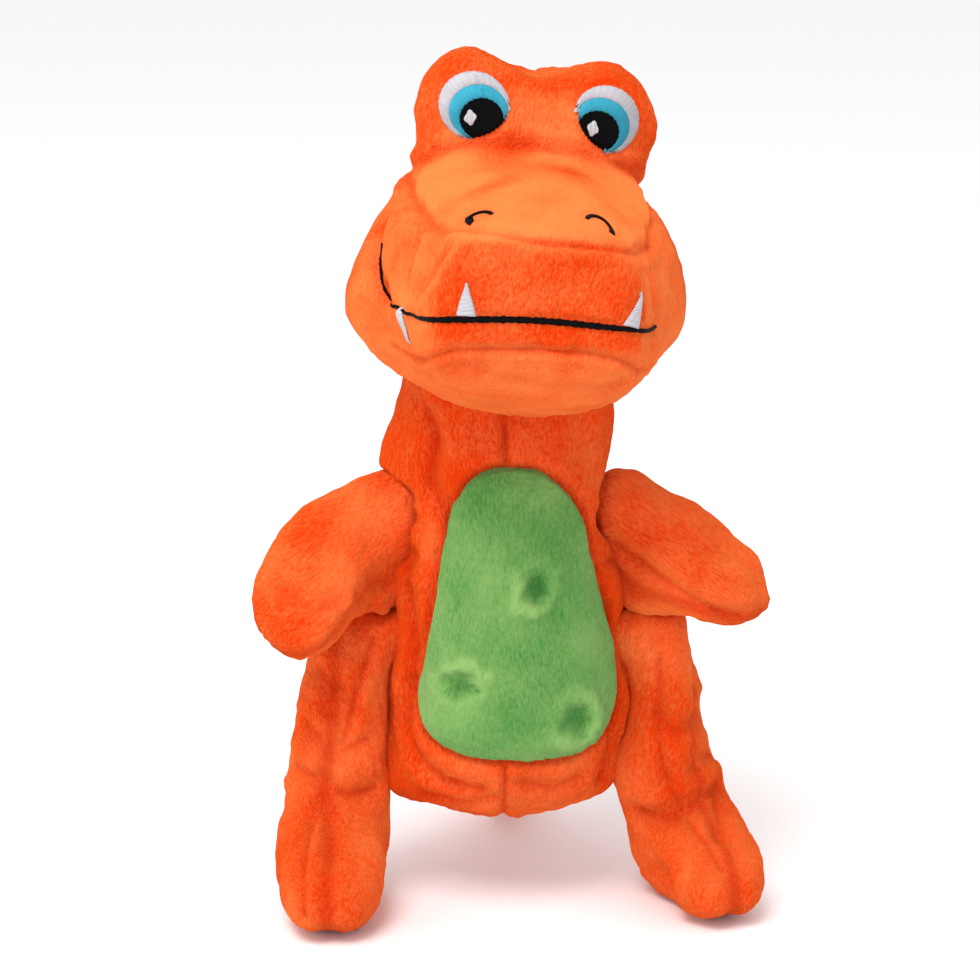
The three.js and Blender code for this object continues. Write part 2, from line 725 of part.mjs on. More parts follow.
// ---------------------------------------------------------------- arms
// Along the arm: how far from the shoulder as a share of the root's radius, then the
// root's width there; and along the blade, the width and thickness as shares.
const ARM_ROOT = [
  [-1, 0],
  [-0.9, 0.44],
  [-0.62, 0.78],
  [-0.2, 0.98],
  [0.2, 0.98],
  [0.55, 0.87],
];
const ARM_BLADE = [
  [0.3, 0.9, 1.15],
  [0.46, 1, 1.1],
  [0.64, 1.02, 1.02],
  [0.8, 0.93, 0.9],
  [0.91, 0.68, 0.68],
  [0.97, 0.4, 0.42],
  [1, 0, 0],
];

// An arm's centre line, and the sections that its bag and its seam are built on.
function armLine(arm) {
  const path = new THREE.CatmullRomCurve3(arm.path, false, "centripetal");
  const frameAt = (centre, tangent, halfWidth, halfThickness, square) => {
    const alongU = tangent.clone().cross(arm.face).normalize();
    const alongV = alongU.clone().cross(tangent).normalize();
    return {
      centre,
      alongU,
      alongV,
      u: [halfWidth, halfWidth],
      v: [halfThickness, halfThickness],
      square,
    };
  };
  return { path, frameAt };
}

function armBag(arm, inset) {
  const { path, frameAt } = armLine(arm);
  const start = path.getTangent(0);
  const rootEnd = ARM_ROOT.map(([along, wide]) =>
    frameAt(
      arm.path[0].clone().addScaledVector(start, along * ARM_BALL),
      start,
      wide * ARM_BALL,
      wide * ARM_BALL,
      2,
    ),
  );
  const blade = ARM_BLADE.map(([along, wide, thick]) =>
    frameAt(
      path.getPointAt(along),
      path.getTangentAt(Math.min(along, 0.97)),
      wide * ARM_HALF_WIDTH,
      thick * ARM_HALF_THICKNESS,
      2,
    ),
  );
  return loft([...rootEnd, ...blade], 12, inset);
}

// The seam between an arm's two panels: a thin sheet through its blade and root.
function armSeam(arm) {
  const { path, frameAt } = armLine(arm);
  const start = path.getTangent(0);
  const end = path.getTangentAt(0.97);
  const wide = 2 * ARM_HALF_WIDTH;
  const at = (centre, tangent) => frameAt(centre, tangent, wide, SEAM / 2, 40);
  const first = at(arm.path[0].clone().addScaledVector(start, -2 * ARM_BALL), start);
  const last = at(path.getPoint(1).addScaledVector(end, ARM_BALL), end);
  const steps = [0, 0.3, 0.46, 0.64, 0.8, 0.91];
  return loft(
    [
      { centre: first.centre.clone().addScaledVector(start, -0.01) },
      first,
      ...steps.map((t) => at(path.getPointAt(t), path.getTangentAt(t))),
      last,
      { centre: last.centre.clone().addScaledVector(end, 0.01) },
    ],
    8,
  );
}

// From the shoulder to the fingertips, and the way that the upper panel faces.
const ARMS = {
  right: {
    path: [
      [0, 0, 0],
      [-14, -6, -4],
      [-23.5, -17, -13],
      [-27.5, -30, -26],
      [-26.5, -42, -38],
    ],
    face: vec(-0.25, -0.8, 0.5).normalize(),
  },
  left: {
    path: [
      [0, 0, 0],
      [12, -3, -6],
      [23.5, -8, -13],
      [34, -13, -20.5],
      [44, -18, -28],
    ],
    face: vec(0.2, -0.62, 0.75).normalize(),
  },
};
for (const [name, arm] of Object.entries(ARMS)) {
  arm.path = arm.path.map(([x, y, z]) => vec(x, y, z).add(shoulders[name]));
  const skin = armBag(arm, 0).subtract(armBag(arm, PLUSH));
  const halves = parted(skin.subtract(armSeam(arm))).slice(0, 2);
  const facing = (solid) => {
    const { min, max } = solid.boundingBox();
    return vec(min[0] + max[0], min[1] + max[1], min[2] + max[2]).dot(arm.face);
  };
  halves.sort((a, b) => facing(b) - facing(a));
  addPiece(root, `arm_${name}_upper_panel`, halves[0], ORANGE);
  addPiece(root, `arm_${name}_under_panel`, halves[1], ORANGE);
  addPiece(root, `arm_${name}_filling`, armBag(arm, PLUSH + LOOSE), FIBRE);
}

// ---------------------------------------------------------------- legs
const legX = hipWall + LEG_HALF_WIDTH;

// Height over the hip as a share of LEG_TOP, then outer half width and half depth.
const THIGH_PROFILE = [
  [1, 0, 0],
  [0.9, 0.3, 0.45],
  [0.5, 0.56, 0.78],
  [-0.5, 0.74, 0.95],
];
// Height over the floor as a share of the hip's height, and the same two shares.
const SHIN_PROFILE = [
  [0.75, 0.87, 1],
  [0.58, 0.98, 0.97],
  [0.42, 1, 0.9],
  [0.3, 1, 0.85],
  [0.16, 0.75, 0.68],
  [0.1, 0, 0],
];

function legColumn(leg, inset) {
  const section = (height, wide, deep, ankleShare) => {
    const girth = THREE.MathUtils.lerp(leg.girth, 1, Math.min(1, 1.8 * ankleShare));
    const outer = LEG_HALF_WIDTH * wide * girth;
    const inner = (LEG_HALF_WIDTH + LEG_PRESSED) * Math.min(1, 1.5 * wide);
    return {
      centre: vec(
        leg.side * (legX + leg.lean * ankleShare),
        leg.ankleY * ankleShare,
        height,
      ),
      alongU: vec(leg.side, 0, 0),
      alongV: vec(0, leg.side, 0),
      u: [inner, outer],
      v: [LEG_HALF_DEPTH * deep, LEG_HALF_DEPTH * deep],
      square: 2.2,
    };
  };
  const thigh = THIGH_PROFILE.map(([share, wide, deep]) =>
    section(hipHeight + share * LEG_TOP, wide, deep, 0),
  );
  const shin = SHIN_PROFILE.map(([share, wide, deep]) =>
    section(share * hipHeight, wide, deep, 1 - share),
  );
  return loft([...thigh, ...shin], 12, inset);
}

// Along the foot from the heel: half width, top and underside as shares.
const FOOT_PROFILE = [
  [0, 0, 0.4, 0.4],
  [0.03, 0.42, 0.62, 0.2],
  [0.12, 0.78, 0.82, 0.04],
  [0.3, 0.96, 1, -0.08],
  [0.5, 1, 0.94, -0.08],
  [0.7, 0.96, 0.8, -0.04],
  [0.86, 0.77, 0.64, 0.03],
  [0.96, 0.46, 0.5, 0.12],
  [1, 0, 0.31, 0.31],
];
const HEEL_SHARE = 0.3; // how much of the foot lies behind the ankle

function footBag(leg, inset) {
  const splay = THREE.MathUtils.degToRad(leg.splay);
  const ahead = vec(leg.side * Math.sin(splay), -Math.cos(splay), 0);
  const across = vec(Math.cos(splay), leg.side * Math.sin(splay), 0);
  return loft(
    FOOT_PROFILE.map(([share, wide, tall, low]) => {
      const top = tall * FOOT_HEIGHT;
      const bottom = low * FOOT_HEIGHT;
      const halfHeight = (top - bottom) / 2;
      return {
        centre: vec(
          leg.side * (legX + leg.lean),
          leg.ankleY,
          (top + bottom) / 2,
        ).addScaledVector(ahead, (share - HEEL_SHARE) * FOOT_LENGTH),
        alongU: across,
        alongV: Z_AXIS,
        u: [FOOT_HALF_WIDTH * wide, FOOT_HALF_WIDTH * wide],
        v: [halfHeight, halfHeight],
        square: 2.1,
      };
    }),
    12,
    inset,
  );
}

// The round root of the leg, which it swings on in its pocket of the body.
const hipBoss = (leg, inset) =>
  cylinderAlong(
    X_AXIS,
    vec(leg.side * (hipBossX + LEG_HALF_WIDTH / 2), 0, hipHeight),
    HIP_BOSS - inset,
    (HIP_BOSS_LENGTH + LEG_HALF_WIDTH) / 2 - inset,
  );

// The leg with its foot, flattened where it stands and where it lies against the body.
const legBag = (leg, inset) =>
  legColumn(leg, inset)
    .add(footBag(leg, inset))
    .intersect(halfSpace(vec(leg.side * (hipWall + inset), 0, 0), vec(leg.side, 0, 0)))
    .add(hipBoss(leg, inset))
    .intersect(halfSpace(vec(0, 0, inset), Z_AXIS));

// The seam down the front of the leg, over the instep and round the toe.
function legSeam(leg) {
  const splay = THREE.MathUtils.degToRad(leg.splay);
  const x = leg.side * (legX + leg.lean);
  const far = 3 * FOOT_LENGTH;
  const line = [
    [x, far],
    [x, leg.ankleY],
    [x + leg.side * far * Math.sin(splay), leg.ankleY - far * Math.cos(splay)],
  ];
  return prism(band(line, SEAM / 2), "z", -FAR, FAR);
}

const LEGS = {
  right: { side: -1, ankleY: -8, lean: 2.5, splay: 2, girth: 1 },
  left: { side: 1, ankleY: 2, lean: 4.5, splay: 22, girth: 0.6 },
};
for (const [name, leg] of Object.entries(LEGS)) {
  const skin = legBag(leg, 0).subtract(legBag(leg, PLUSH));
  const halves = parted(skin.subtract(legSeam(leg))).slice(0, 2);
  const outward = (solid) => {
    const { min, max } = solid.boundingBox();
    return leg.side * (min[0] + max[0]);
  };
  halves.sort((a, b) => outward(b) - outward(a));
  addPiece(root, `leg_${name}_outer_panel`, halves[0], ORANGE);
  addPiece(root, `leg_${name}_inner_panel`, halves[1], ORANGE);
  addPiece(root, `leg_${name}_filling`, legBag(leg, PLUSH + LOOSE), FIBRE);
}

// ---------------------------------------------------------------- tail
// Along the tail from its root: height as a share of the way down, and radius as a share.
const TAIL_PROFILE = [
  [0.02, 0, 0.97],
  [0.2, 0.2, 0.86],
  [0.4, 0.62, 0.84],
  [0.6, 0.86, 0.74],
  [0.78, 0.96, 0.62],
  [0.9, 1, 0.46],
  [0.97, 1, 0.26],
  [1, 1, 0],
];
const TAIL_ROOT = [
  [-1, 0],
  [-0.9, 0.43],
  [-0.6, 0.79],
];

function tailBag(inset) {
  const start = vec(0, 1, 0);
  const section = (centre, along, radius) => ({
    centre,
    alongU: X_AXIS,
    alongV: X_AXIS.clone().cross(along).normalize(),
    u: [radius, radius],
    v: [radius, radius],
    square: 2,
  });
  const rootEnd = TAIL_ROOT.map(([along, share]) =>
    section(
      tailPivot.clone().addScaledVector(start, along * TAIL_BALL),
      start,
      share * TAIL_BALL,
    ),
  );
  const drop = tailRootHeight - TAIL_TIP_HEIGHT;
  const place = ([along, down]) =>
    vec(0, tailPivot.y + along * TAIL_LENGTH, tailRootHeight - down * drop);
  const rest = TAIL_PROFILE.map((row, i, all) => {
    const before = place(all[Math.max(i - 1, 0)]);
    const after = place(all[Math.min(i + 1, all.length - 1)]);
    const along = i === 0 ? start : after.sub(before).normalize();
    return section(place(row), along, row[2] * TAIL_BALL);
  });
  return loft([...rootEnd, ...rest], 10, inset).intersect(
    halfSpace(vec(0, 0, inset), Z_AXIS),
  );
}
const tailSkin = tailBag(0).subtract(tailBag(PLUSH));
const [tailLeft, tailRight] = cutAt(tailSkin, vec(0, 0, 0), X_AXIS);
addPiece(root, "tail_panel_left", largest(tailLeft), ORANGE);
addPiece(root, "tail_panel_right", largest(tailRight), ORANGE);
addPiece(root, "tail_filling", tailBag(PLUSH + LOOSE), FIBRE);

// ---------------------------------------------------------------- the part's frame
// The origin is on the floor, at the middle of the box that holds the dinosaur.
root.updateMatrixWorld(true);
const bounds = new THREE.Box3().setFromObject(root, true);
const middle = bounds.getCenter(vec(0, 0, 0));
root.position.set(-middle.x, -middle.y, -bounds.min.z);

export default root;
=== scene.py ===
import json
import math

import bpy
import numpy as np
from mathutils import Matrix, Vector, noise
from mathutils.bvhtree import BVHTree
from mathutils.kdtree import KDTree


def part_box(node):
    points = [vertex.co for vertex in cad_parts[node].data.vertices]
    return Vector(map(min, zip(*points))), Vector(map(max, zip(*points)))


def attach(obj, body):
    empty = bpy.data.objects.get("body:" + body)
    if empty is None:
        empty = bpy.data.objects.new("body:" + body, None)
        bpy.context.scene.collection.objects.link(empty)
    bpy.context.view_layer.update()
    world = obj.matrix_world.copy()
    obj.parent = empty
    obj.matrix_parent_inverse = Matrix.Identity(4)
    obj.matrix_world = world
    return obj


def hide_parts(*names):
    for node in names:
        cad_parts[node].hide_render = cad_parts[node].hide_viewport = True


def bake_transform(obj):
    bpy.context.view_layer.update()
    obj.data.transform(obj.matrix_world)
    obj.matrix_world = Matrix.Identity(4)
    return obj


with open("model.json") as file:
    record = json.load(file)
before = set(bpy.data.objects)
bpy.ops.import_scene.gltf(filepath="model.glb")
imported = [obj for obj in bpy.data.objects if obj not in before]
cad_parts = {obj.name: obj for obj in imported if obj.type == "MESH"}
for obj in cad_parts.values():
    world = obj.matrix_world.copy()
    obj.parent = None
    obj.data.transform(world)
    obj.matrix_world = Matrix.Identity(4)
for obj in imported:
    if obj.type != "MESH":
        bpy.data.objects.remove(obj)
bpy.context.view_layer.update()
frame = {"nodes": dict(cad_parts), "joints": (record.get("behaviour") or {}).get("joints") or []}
joints = {j["name"]: j for j in frame["joints"]}

# ---------------------------------------------------------------- camera
# Stands in front of the toy and a little above it, a metre away, with a long lens.
bpy.context.scene.view_settings.view_transform = "Standard"
bpy.context.scene.view_settings.look = "None"
CAMERA_TARGET = Vector((-0.0073, -0.0034, 0.135))
CAMERA_RISE = math.radians(15)
camera_back = Vector((0, -math.cos(CAMERA_RISE), math.sin(CAMERA_RISE)))
bpy.ops.object.camera_add(location=CAMERA_TARGET + camera_back)
camera = bpy.context.object
camera.rotation_euler = (-camera_back).to_track_quat("-Z", "Y").to_euler()
camera.data.lens = 117.2
camera.data.sensor_width = 36
camera.data.clip_start = 0.01
bpy.context.scene.camera = camera

# ---------------------------------------------------------------- floor and light
# A plain white table top under one large soft window from above, with a softer one on
# the left and white all round.
bpy.ops.object.select_all(action="DESELECT")
bpy.ops.mesh.primitive_plane_add(size=12, location=(0, 0, 0))
floor = bpy.context.object
floor.name = "table_top"
floor_finish = bpy.data.materials.new("pale table top")
floor_finish.use_nodes = True
floor_shader = floor_finish.node_tree.nodes["Principled BSDF"]
floor_shader.inputs["Base Color"].default_value = (0.93, 0.93, 0.93, 1)
floor_shader.inputs["Roughness"].default_value = 0.8
floor.data.materials.append(floor_finish)

surround = bpy.data.worlds.new("white surround")
surround.use_nodes = True
surround.node_tree.nodes["Background"].inputs["Color"].default_value = (1, 1, 1, 1)
surround.node_tree.nodes["Background"].inputs["Strength"].default_value = 0.95
bpy.context.scene.world = surround


def soft_light(name, place, size, watts):
    bpy.ops.object.light_add(type="AREA", location=place)
    light = bpy.context.object
    light.name = name
    light.data.size = size
    light.data.energy = watts
    aim = Vector((0, 0, 0.15)) - Vector(place)
    light.rotation_euler = aim.to_track_quat("-Z", "Y").to_euler()


soft_light("window above", (-0.35, -0.8, 1.5), size=0.8, watts=19)
soft_light("window left", (-1.4, -0.9, 0.7), size=0.9, watts=5)


# ---------------------------------------------------------------- body and neck
# One bag of short-pile plush, sewn up the front, back and sides, and filled with loose
# fibre. It runs on without a seam into the neck, which goes up inside the head.
def select_only(*objects):
    bpy.ops.object.select_all(action="DESELECT")
    for o in objects:
        o.select_set(True)
    bpy.context.view_layer.objects.active = objects[0]


def apply_modifier(obj, kind, **settings):
    select_only(obj)
    modifier = obj.modifiers.new(kind.lower(), kind)
    for key, value in settings.items():
        setattr(modifier, key, value)
    bpy.ops.object.modifier_apply(modifier=modifier.name)


def points_of(obj):
    co = np.empty(len(obj.data.vertices) * 3, np.float64)
    obj.data.vertices.foreach_get("co", co)
    return co.reshape(-1, 3)


def normals_of(obj):
    no = np.empty(len(obj.data.vertices) * 3, np.float64)
    obj.data.vertices.foreach_get("normal", no)
    return no.reshape(-1, 3)


def move_points(obj, co):
    obj.data.vertices.foreach_set("co", np.ascontiguousarray(co, dtype=np.float64).ravel())
    obj.data.update()


def keep_largest(obj):
    """Leaves the biggest of the loose shells, which is the outside."""
    select_only(obj)
    bpy.ops.object.mode_set(mode="EDIT")
    bpy.ops.mesh.select_all(action="SELECT")
    bpy.ops.mesh.separate(type="LOOSE")
    bpy.ops.object.mode_set(mode="OBJECT")
    shells = sorted(bpy.context.selected_objects, key=lambda o: max(o.dimensions))
    biggest = shells.pop()
    for shell in shells:
        bpy.data.objects.remove(shell)
    return biggest


def bag_from(name, nodes, voxel, smoothing):
    """A closed, rounded bag in the space of these CAD nodes."""
    copies = []
    for node in nodes:
        piece = frame["nodes"][node]
        copy = bpy.data.objects.new(name, piece.data.copy())
        bpy.context.collection.objects.link(copy)
        copies.append(copy)
    select_only(*copies)
    if len(copies) > 1:
        bpy.ops.object.join()
    bag = bpy.context.view_layer.objects.active
    bag.data.materials.clear()
    bpy.ops.object.mode_set(mode="EDIT")
    bpy.ops.mesh.select_all(action="SELECT")
    bpy.ops.mesh.remove_doubles(threshold=1e-6)
    bpy.ops.object.mode_set(mode="OBJECT")
    apply_modifier(bag, "REMESH", mode="VOXEL", voxel_size=voxel)
    bag = keep_largest(bag)
    bag.name = name
    apply_modifier(bag, "SMOOTH", factor=0.5, iterations=smoothing)
    return bag


def ease(x):
    x = np.clip(x, 0, 1)
    return x * x * (3 - 2 * x)


def pull(co, centre, radius, shift):
    """Draws the surface about a place over by a shift, as a hand would; all in metres."""
    away = np.linalg.norm(co - np.array(centre), axis=1) / radius
    return co + np.exp(-2.2 * away**2)[:, None] * np.array(shift)


def crease(co, no, line, width, depth, crease_shade_weights):
    """Presses a fold along a line of points, with a slight roll beside it. How deep each
    point lies in the fold, from 0 to 1, is added to the given list, for the painted shade in the
    fold."""
    nearest = np.full(len(co), 1e9)
    line = np.array(line, float)
    for a, b in zip(line[:-1], line[1:]):
        run = b - a
        t = np.clip((co - a) @ run / (run @ run), 0, 1)
        away = np.linalg.norm(co - (a + t[:, None] * run), axis=1)
        closer = away < nearest
        nearest[closer] = away[closer]
    x = nearest / width
    crease_shade_weights.append(np.exp(-7 * x**2) * min(1, depth / 0.002))
    profile = np.exp(-2.5 * x**2) - 0.28 * np.exp(-3.0 * (x - 1.7) ** 2)
    return co - no * (depth * profile)[:, None]


def seam(co, no, distance, width, depth):
    """Draws a sewn seam in where the distance given for each point is nought."""
    x = np.abs(distance) / width
    profile = np.exp(-2.5 * x**2) - 0.18 * np.exp(-2 * (x - 2.2) ** 2)
    return co - no * (depth * profile)[:, None]


def skin_tree(obj):
    return BVHTree.FromPolygons(
        points_of(obj).tolist(), [p.vertices[:] for p in obj.data.polygons]
    )


def onto(skin, places, toward):
    """Where lines along toward, each through one of the places, first meet the skin."""
    toward = Vector(toward).normalized()
    met = []
    for place in places:
        hit = skin.ray_cast(Vector(place) - toward * 0.4, toward)[0]
        met.append(hit if hit else skin.find_nearest(Vector(place))[0])
    return np.array(met)


def waves(co, scale, seed, stretch=(1, 1, 1)):
    """Smooth random heights from -1 to 1, drawn out along each axis by its stretch."""
    p = co / (np.array(stretch) * scale) + seed
    return np.array([noise.noise(Vector(q)) for q in p])


FILLING_PRESSURE = 4.0
CLOTH_STEPS = 14


def stuff(bag, cap):
    """Blows the bag up under its seams by cloth simulation, never by more than the cap."""
    before = points_of(bag)
    select_only(bag)
    cloth = bag.modifiers.new("cloth", "CLOTH")
    cloth.settings.quality = 4
    cloth.settings.mass = 0.2
    cloth.settings.tension_stiffness = 12
    cloth.settings.compression_stiffness = 12
    cloth.settings.shear_stiffness = 6
    cloth.settings.bending_stiffness = 0.6
    cloth.settings.use_pressure = True
    cloth.settings.uniform_pressure_force = FILLING_PRESSURE
    cloth.settings.effector_weights.gravity = 0
    cloth.collision_settings.use_collision = False
    for step in range(1, CLOTH_STEPS + 1):
        bpy.context.scene.frame_set(step)
    bpy.ops.object.modifier_apply(modifier=cloth.name)
    bpy.context.scene.frame_set(1)
    shift = points_of(bag) - before
    length = np.linalg.norm(shift, axis=1, keepdims=True)
    move_points(bag, before + shift * np.minimum(1, cap / np.maximum(length, 1e-9)))


def refine(bag, levels):
    """Splits each face in four, that many times over, for the fine relief to come."""
    apply_modifier(bag, "SUBSURF", levels=levels, render_levels=levels)
    select_only(bag)
    bpy.ops.object.shade_smooth()


def raise_pile(bag, along, tuft, height, seed):
    """Lifts the surface into tufts of short pile that are brushed along one way."""
    co = points_of(bag)
    no = normals_of(bag)
    d = np.array(along, float)
    d /= np.linalg.norm(d)
    side = np.cross(d, (0.31, 0.77, 0.21))
    side /= np.linalg.norm(side)
    up = np.cross(d, side)
    axes = np.stack([side, up, d], 1)
    local = co @ axes
    coarse = waves(local, tuft * 2.6, seed, stretch=(1, 1, 2.2))
    fine = waves(local, tuft, seed + 7, stretch=(1, 1, 2.6))
    move_points(bag, co + no * ((0.55 * coarse + 0.45 * fine) * height)[:, None])


def set_nap_and_shading(obj, nap_and_shading, crease_shade=0.0):
    """Tells the cloth how far the pile is brushed up at each point: 0 lies flat and pale,
    1 stands deep; painted highlight and painted shade are added to this value. The other
    value is painted shade, 1 at the bottom of a seam or crease, where it is darkest."""
    count = len(obj.data.vertices)
    for key, values in [("nap_and_shading", nap_and_shading), ("crease_shade", crease_shade)]:
        attribute = obj.data.attributes.new(key, "FLOAT", "POINT")
        values = np.clip(np.broadcast_to(values, count), 0, 1)
        attribute.data.foreach_set("value", values.astype(np.float32))


def add_node(tree, kind, inputs=(), **settings):
    """Adds a shader node. Each input is a value, or the socket that feeds it."""
    made = tree.nodes.new(kind)
    for key, value in settings.items():
        setattr(made, key, value)
    for key, value in dict(inputs).items():
        if isinstance(value, bpy.types.NodeSocket):
            tree.links.new(value, made.inputs[key])
        else:
            made.inputs[key].default_value = value
    return made


def plush_cloth(name, flat, deep_and_shaded, crease_shade_colour, glow, along):
    """Short cut pile: pale and smooth where it lies flat, deep and streaky where it is
    brushed up; the same two colours also paint highlight and shade. The streaks run along
    one way, and the colour darkens at the bottom of seams and creases as painted shade."""
    cloth = bpy.data.materials.new(name)
    cloth.use_nodes = True
    tree = cloth.node_tree
    shader = tree.nodes["Principled BSDF"]
    shader.inputs["Roughness"].default_value = 0.95
    shader.inputs["Specular IOR Level"].default_value = 0.05
    shader.inputs["Sheen Weight"].default_value = 0.32
    shader.inputs["Sheen Roughness"].default_value = 0.45
    shader.inputs["Sheen Tint"].default_value = (*glow, 1)
    place = add_node(tree, "ShaderNodeTexCoord").outputs["Object"]
    brushed = add_node(
        tree,
        "ShaderNodeMapping",
        {
            "Vector": place,
            "Rotation": Vector(along).to_track_quat("Z", "Y").to_euler(),
            "Scale": (0.0008, 0.0008, 0.0021),
        },
        vector_type="TEXTURE",
    )
    pile = add_node(
        tree,
        "ShaderNodeTexNoise",
        {"Vector": brushed.outputs[0], "Scale": 1.0, "Detail": 3.0, "Roughness": 0.62},
    ).outputs["Fac"]
    swirls = add_node(
        tree,
        "ShaderNodeTexNoise",
        {"Vector": place, "Scale": 62.0, "Detail": 3.0, "Distortion": 0.6},
    ).outputs["Fac"]
    nap_and_shading = add_node(tree, "ShaderNodeAttribute", attribute_name="nap_and_shading").outputs["Fac"]
    rough = add_node(
        tree, "ShaderNodeMath", {0: nap_and_shading, 1: 1.5, 2: 0.6}, operation="MULTIPLY_ADD"
    ).outputs[0]
    centred = add_node(tree, "ShaderNodeMath", {0: pile, 1: 0.5}, operation="SUBTRACT")
    streaked = add_node(
        tree, "ShaderNodeMath", {0: centred.outputs[0], 1: rough}, operation="MULTIPLY"
    ).outputs[0]
    patchy = add_node(
        tree, "ShaderNodeMath", {0: swirls, 1: 1.1, 2: -0.55}, operation="MULTIPLY_ADD"
    ).outputs[0]
    both = add_node(tree, "ShaderNodeMath", {0: streaked, 1: patchy}).outputs[0]
    lie_and_shading = add_node(tree, "ShaderNodeMath", {0: both, 1: nap_and_shading}, use_clamp=True).outputs[0]
    colour = add_node(
        tree,
        "ShaderNodeMix",
        {"Factor": lie_and_shading, "A": (*flat, 1), "B": (*deep_and_shaded, 1)},
        data_type="RGBA",
    ).outputs["Result"]
    # Painted shade: the colour darkens at the bottom of seams and creases.
    crease_shade = add_node(tree, "ShaderNodeAttribute", attribute_name="crease_shade").outputs["Fac"]
    shaded = add_node(
        tree,
        "ShaderNodeMix",
        {"Factor": crease_shade, "A": colour, "B": (*crease_shade_colour, 1)},
        data_type="RGBA",
    )
    tree.links.new(shaded.outputs["Result"], shader.inputs["Base Color"])
    bump = add_node(
        tree,
        "ShaderNodeBump",
        {"Height": streaked, "Strength": 0.9, "Distance": 0.0014},
    )
    tree.links.new(bump.outputs["Normal"], shader.inputs["Normal"])
    return cloth


# The pale colour is both flat-lying pile and painted highlight, the deep one both brushed-up pile
# and painted shade.
ORANGE_FLAT_AND_LIT = (0.93, 0.19, 0.05)
ORANGE_DEEP_AND_SHADED = (0.84, 0.042, 0.001)
# The painted shade at the bottom of seams and creases.
ORANGE_CREASE_SHADE = (0.62, 0.016, 0.0004)
ORANGE_GLOW = (1.0, 0.42, 0.06)
ORANGE_PLUSH = (ORANGE_FLAT_AND_LIT, ORANGE_DEEP_AND_SHADED, ORANGE_CREASE_SHADE, ORANGE_GLOW)
BODY_PANELS = [
    "chest_panel_left",
    "chest_panel_right",
    "back_panel_left",
    "back_panel_right",
    "neck_panel_front",
    "neck_panel_back",
]
BODY_FILLINGS = ["torso_filling", "neck_filling"]
BODY_VOXEL = 0.0035
NECK_FOOT = 0.155  # the height at which the side seams end
BELLY_EDGE = [  # from the top, down the toy's right side and up its left, in millimetres
    (2, 94.5),
    (-8, 92.5),
    (-15, 86.5),
    (-20, 74),
    (-22.6, 58),
    (-25.7, 39),
    (-29, 21),
    (-26.5, 9),
    (-17, 2.5),
    (1, 0),
    (20, 1),
    (31, 7),
    (35, 18),
    (34.5, 31),
    (31, 47),
    (26.8, 64),
    (23.7, 76.5),
    (18.5, 86),
    (11, 92.3),
]
patch_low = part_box("belly_patch")[0]
side_seam_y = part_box("chest_panel_left")[1].y
pivot = Vector(joints["neck_turn"]["pos_m"])


def bend_between(a, b, c, d):
    """Close points on a smooth curve from b to c, where a comes before and d after."""
    t = np.linspace(0, 1, 24, endpoint=False)[:, None]
    square = 2 * a - 5 * b + 4 * c - d
    cube = 3 * b - a - 3 * c + d
    return 0.5 * (2 * b + (c - a) * t + square * t**2 + cube * t**3)


def even_steps(dense, count, to_end):
    """A line of close points as that many even steps, with or without its last point."""
    run = np.concatenate([[0], np.cumsum(np.linalg.norm(np.diff(dense, axis=0), axis=1))])
    even = np.linspace(0, run[-1], count, endpoint=to_end)
    return np.stack([np.interp(even, run, dense[:, k]) for k in range(dense.shape[1])], 1)


def closed_curve(points, count):
    """A smooth closed line through the points, as that many even steps."""
    p = np.array(points, float)
    n = len(p)
    dense = [bend_between(p[i - 1], p[i], p[(i + 1) % n], p[(i + 2) % n]) for i in range(n)]
    return even_steps(np.concatenate(dense + [p[:1]]), count, False)


def inside_by(flat, outline):
    """How far each flat point lies inside a closed outline; outside is below nought."""
    nearest = np.full(len(flat), 1e9)
    turns = np.zeros(len(flat), int)
    for p, q in zip(outline, np.roll(outline, -1, axis=0)):
        run = q - p
        t = np.clip((flat - p) @ run / (run @ run), 0, 1)
        nearest = np.minimum(nearest, np.linalg.norm(flat - (p + t[:, None] * run), axis=1))
        between = (p[1] <= flat[:, 1]) != (q[1] <= flat[:, 1])
        cross = run[0] * (flat[:, 1] - p[1]) - run[1] * (flat[:, 0] - p[0])
        turns += np.where(between, np.where(np.sign(cross) == np.sign(run[1]), 1, 0), 0)
    return np.where(turns % 2 == 1, nearest, -nearest)


def on_body(x, z):
    """A place in front of the body, in millimetres from its middle and from the floor."""
    return (pivot.x + x / 1000, -0.2, z / 1000)


body = bag_from(
    "body_plush", BODY_PANELS + BODY_FILLINGS + ["belly_patch"], BODY_VOXEL, smoothing=12
)
stuff(body, cap=0.0022)
refine(body, levels=2)
edge = closed_curve(BELLY_EDGE, 180) / 1000 + (pivot.x, patch_low.z)

# The belly spreads against the thighs, and the neck flares out into the shoulders.
BODY_PULLS = [  # across, back, up, reach and shift, in millimetres
    (-37, -2, 112, 19, (-5, 0, 0)),
    (36, -2, 112, 19, (6, 0, 0)),
    (-38, -2, 78, 24, (-3, 0, 0)),
    (38, -2, 76, 24, (4.5, 0, 0)),
    (-32, 0, 160, 15, (-1, 0, 0)),
    (-36, 0, 149, 13, (-4.5, 0, 0)),
    (-35, -4, 140, 12, (-5, 0, 0)),
    (-36, -4, 132, 13, (-12, 0, 0)),
    (-31, -2, 150, 12, (-2.5, 0, 0)),
    (-32, -4, 56, 12, (-4, 0, 0)),
    (33, 0, 148, 14, (-1.5, 0, 0)),
    (-27, -6, 42, 16, (-10, 0, -2)),
    (24, -6, 43, 14, (5, 0, -1)),
    (-2, -10, 34, 26, (0, 0, -2)),
]
co = points_of(body)
for x, y, z, radius, shift in BODY_PULLS:
    place = (pivot.x + x / 1000, pivot.y + y / 1000, z / 1000)
    co = pull(co, place, radius / 1000, np.array(shift) / 1000)
move_points(body, co)
smooth_front = skin_tree(body)

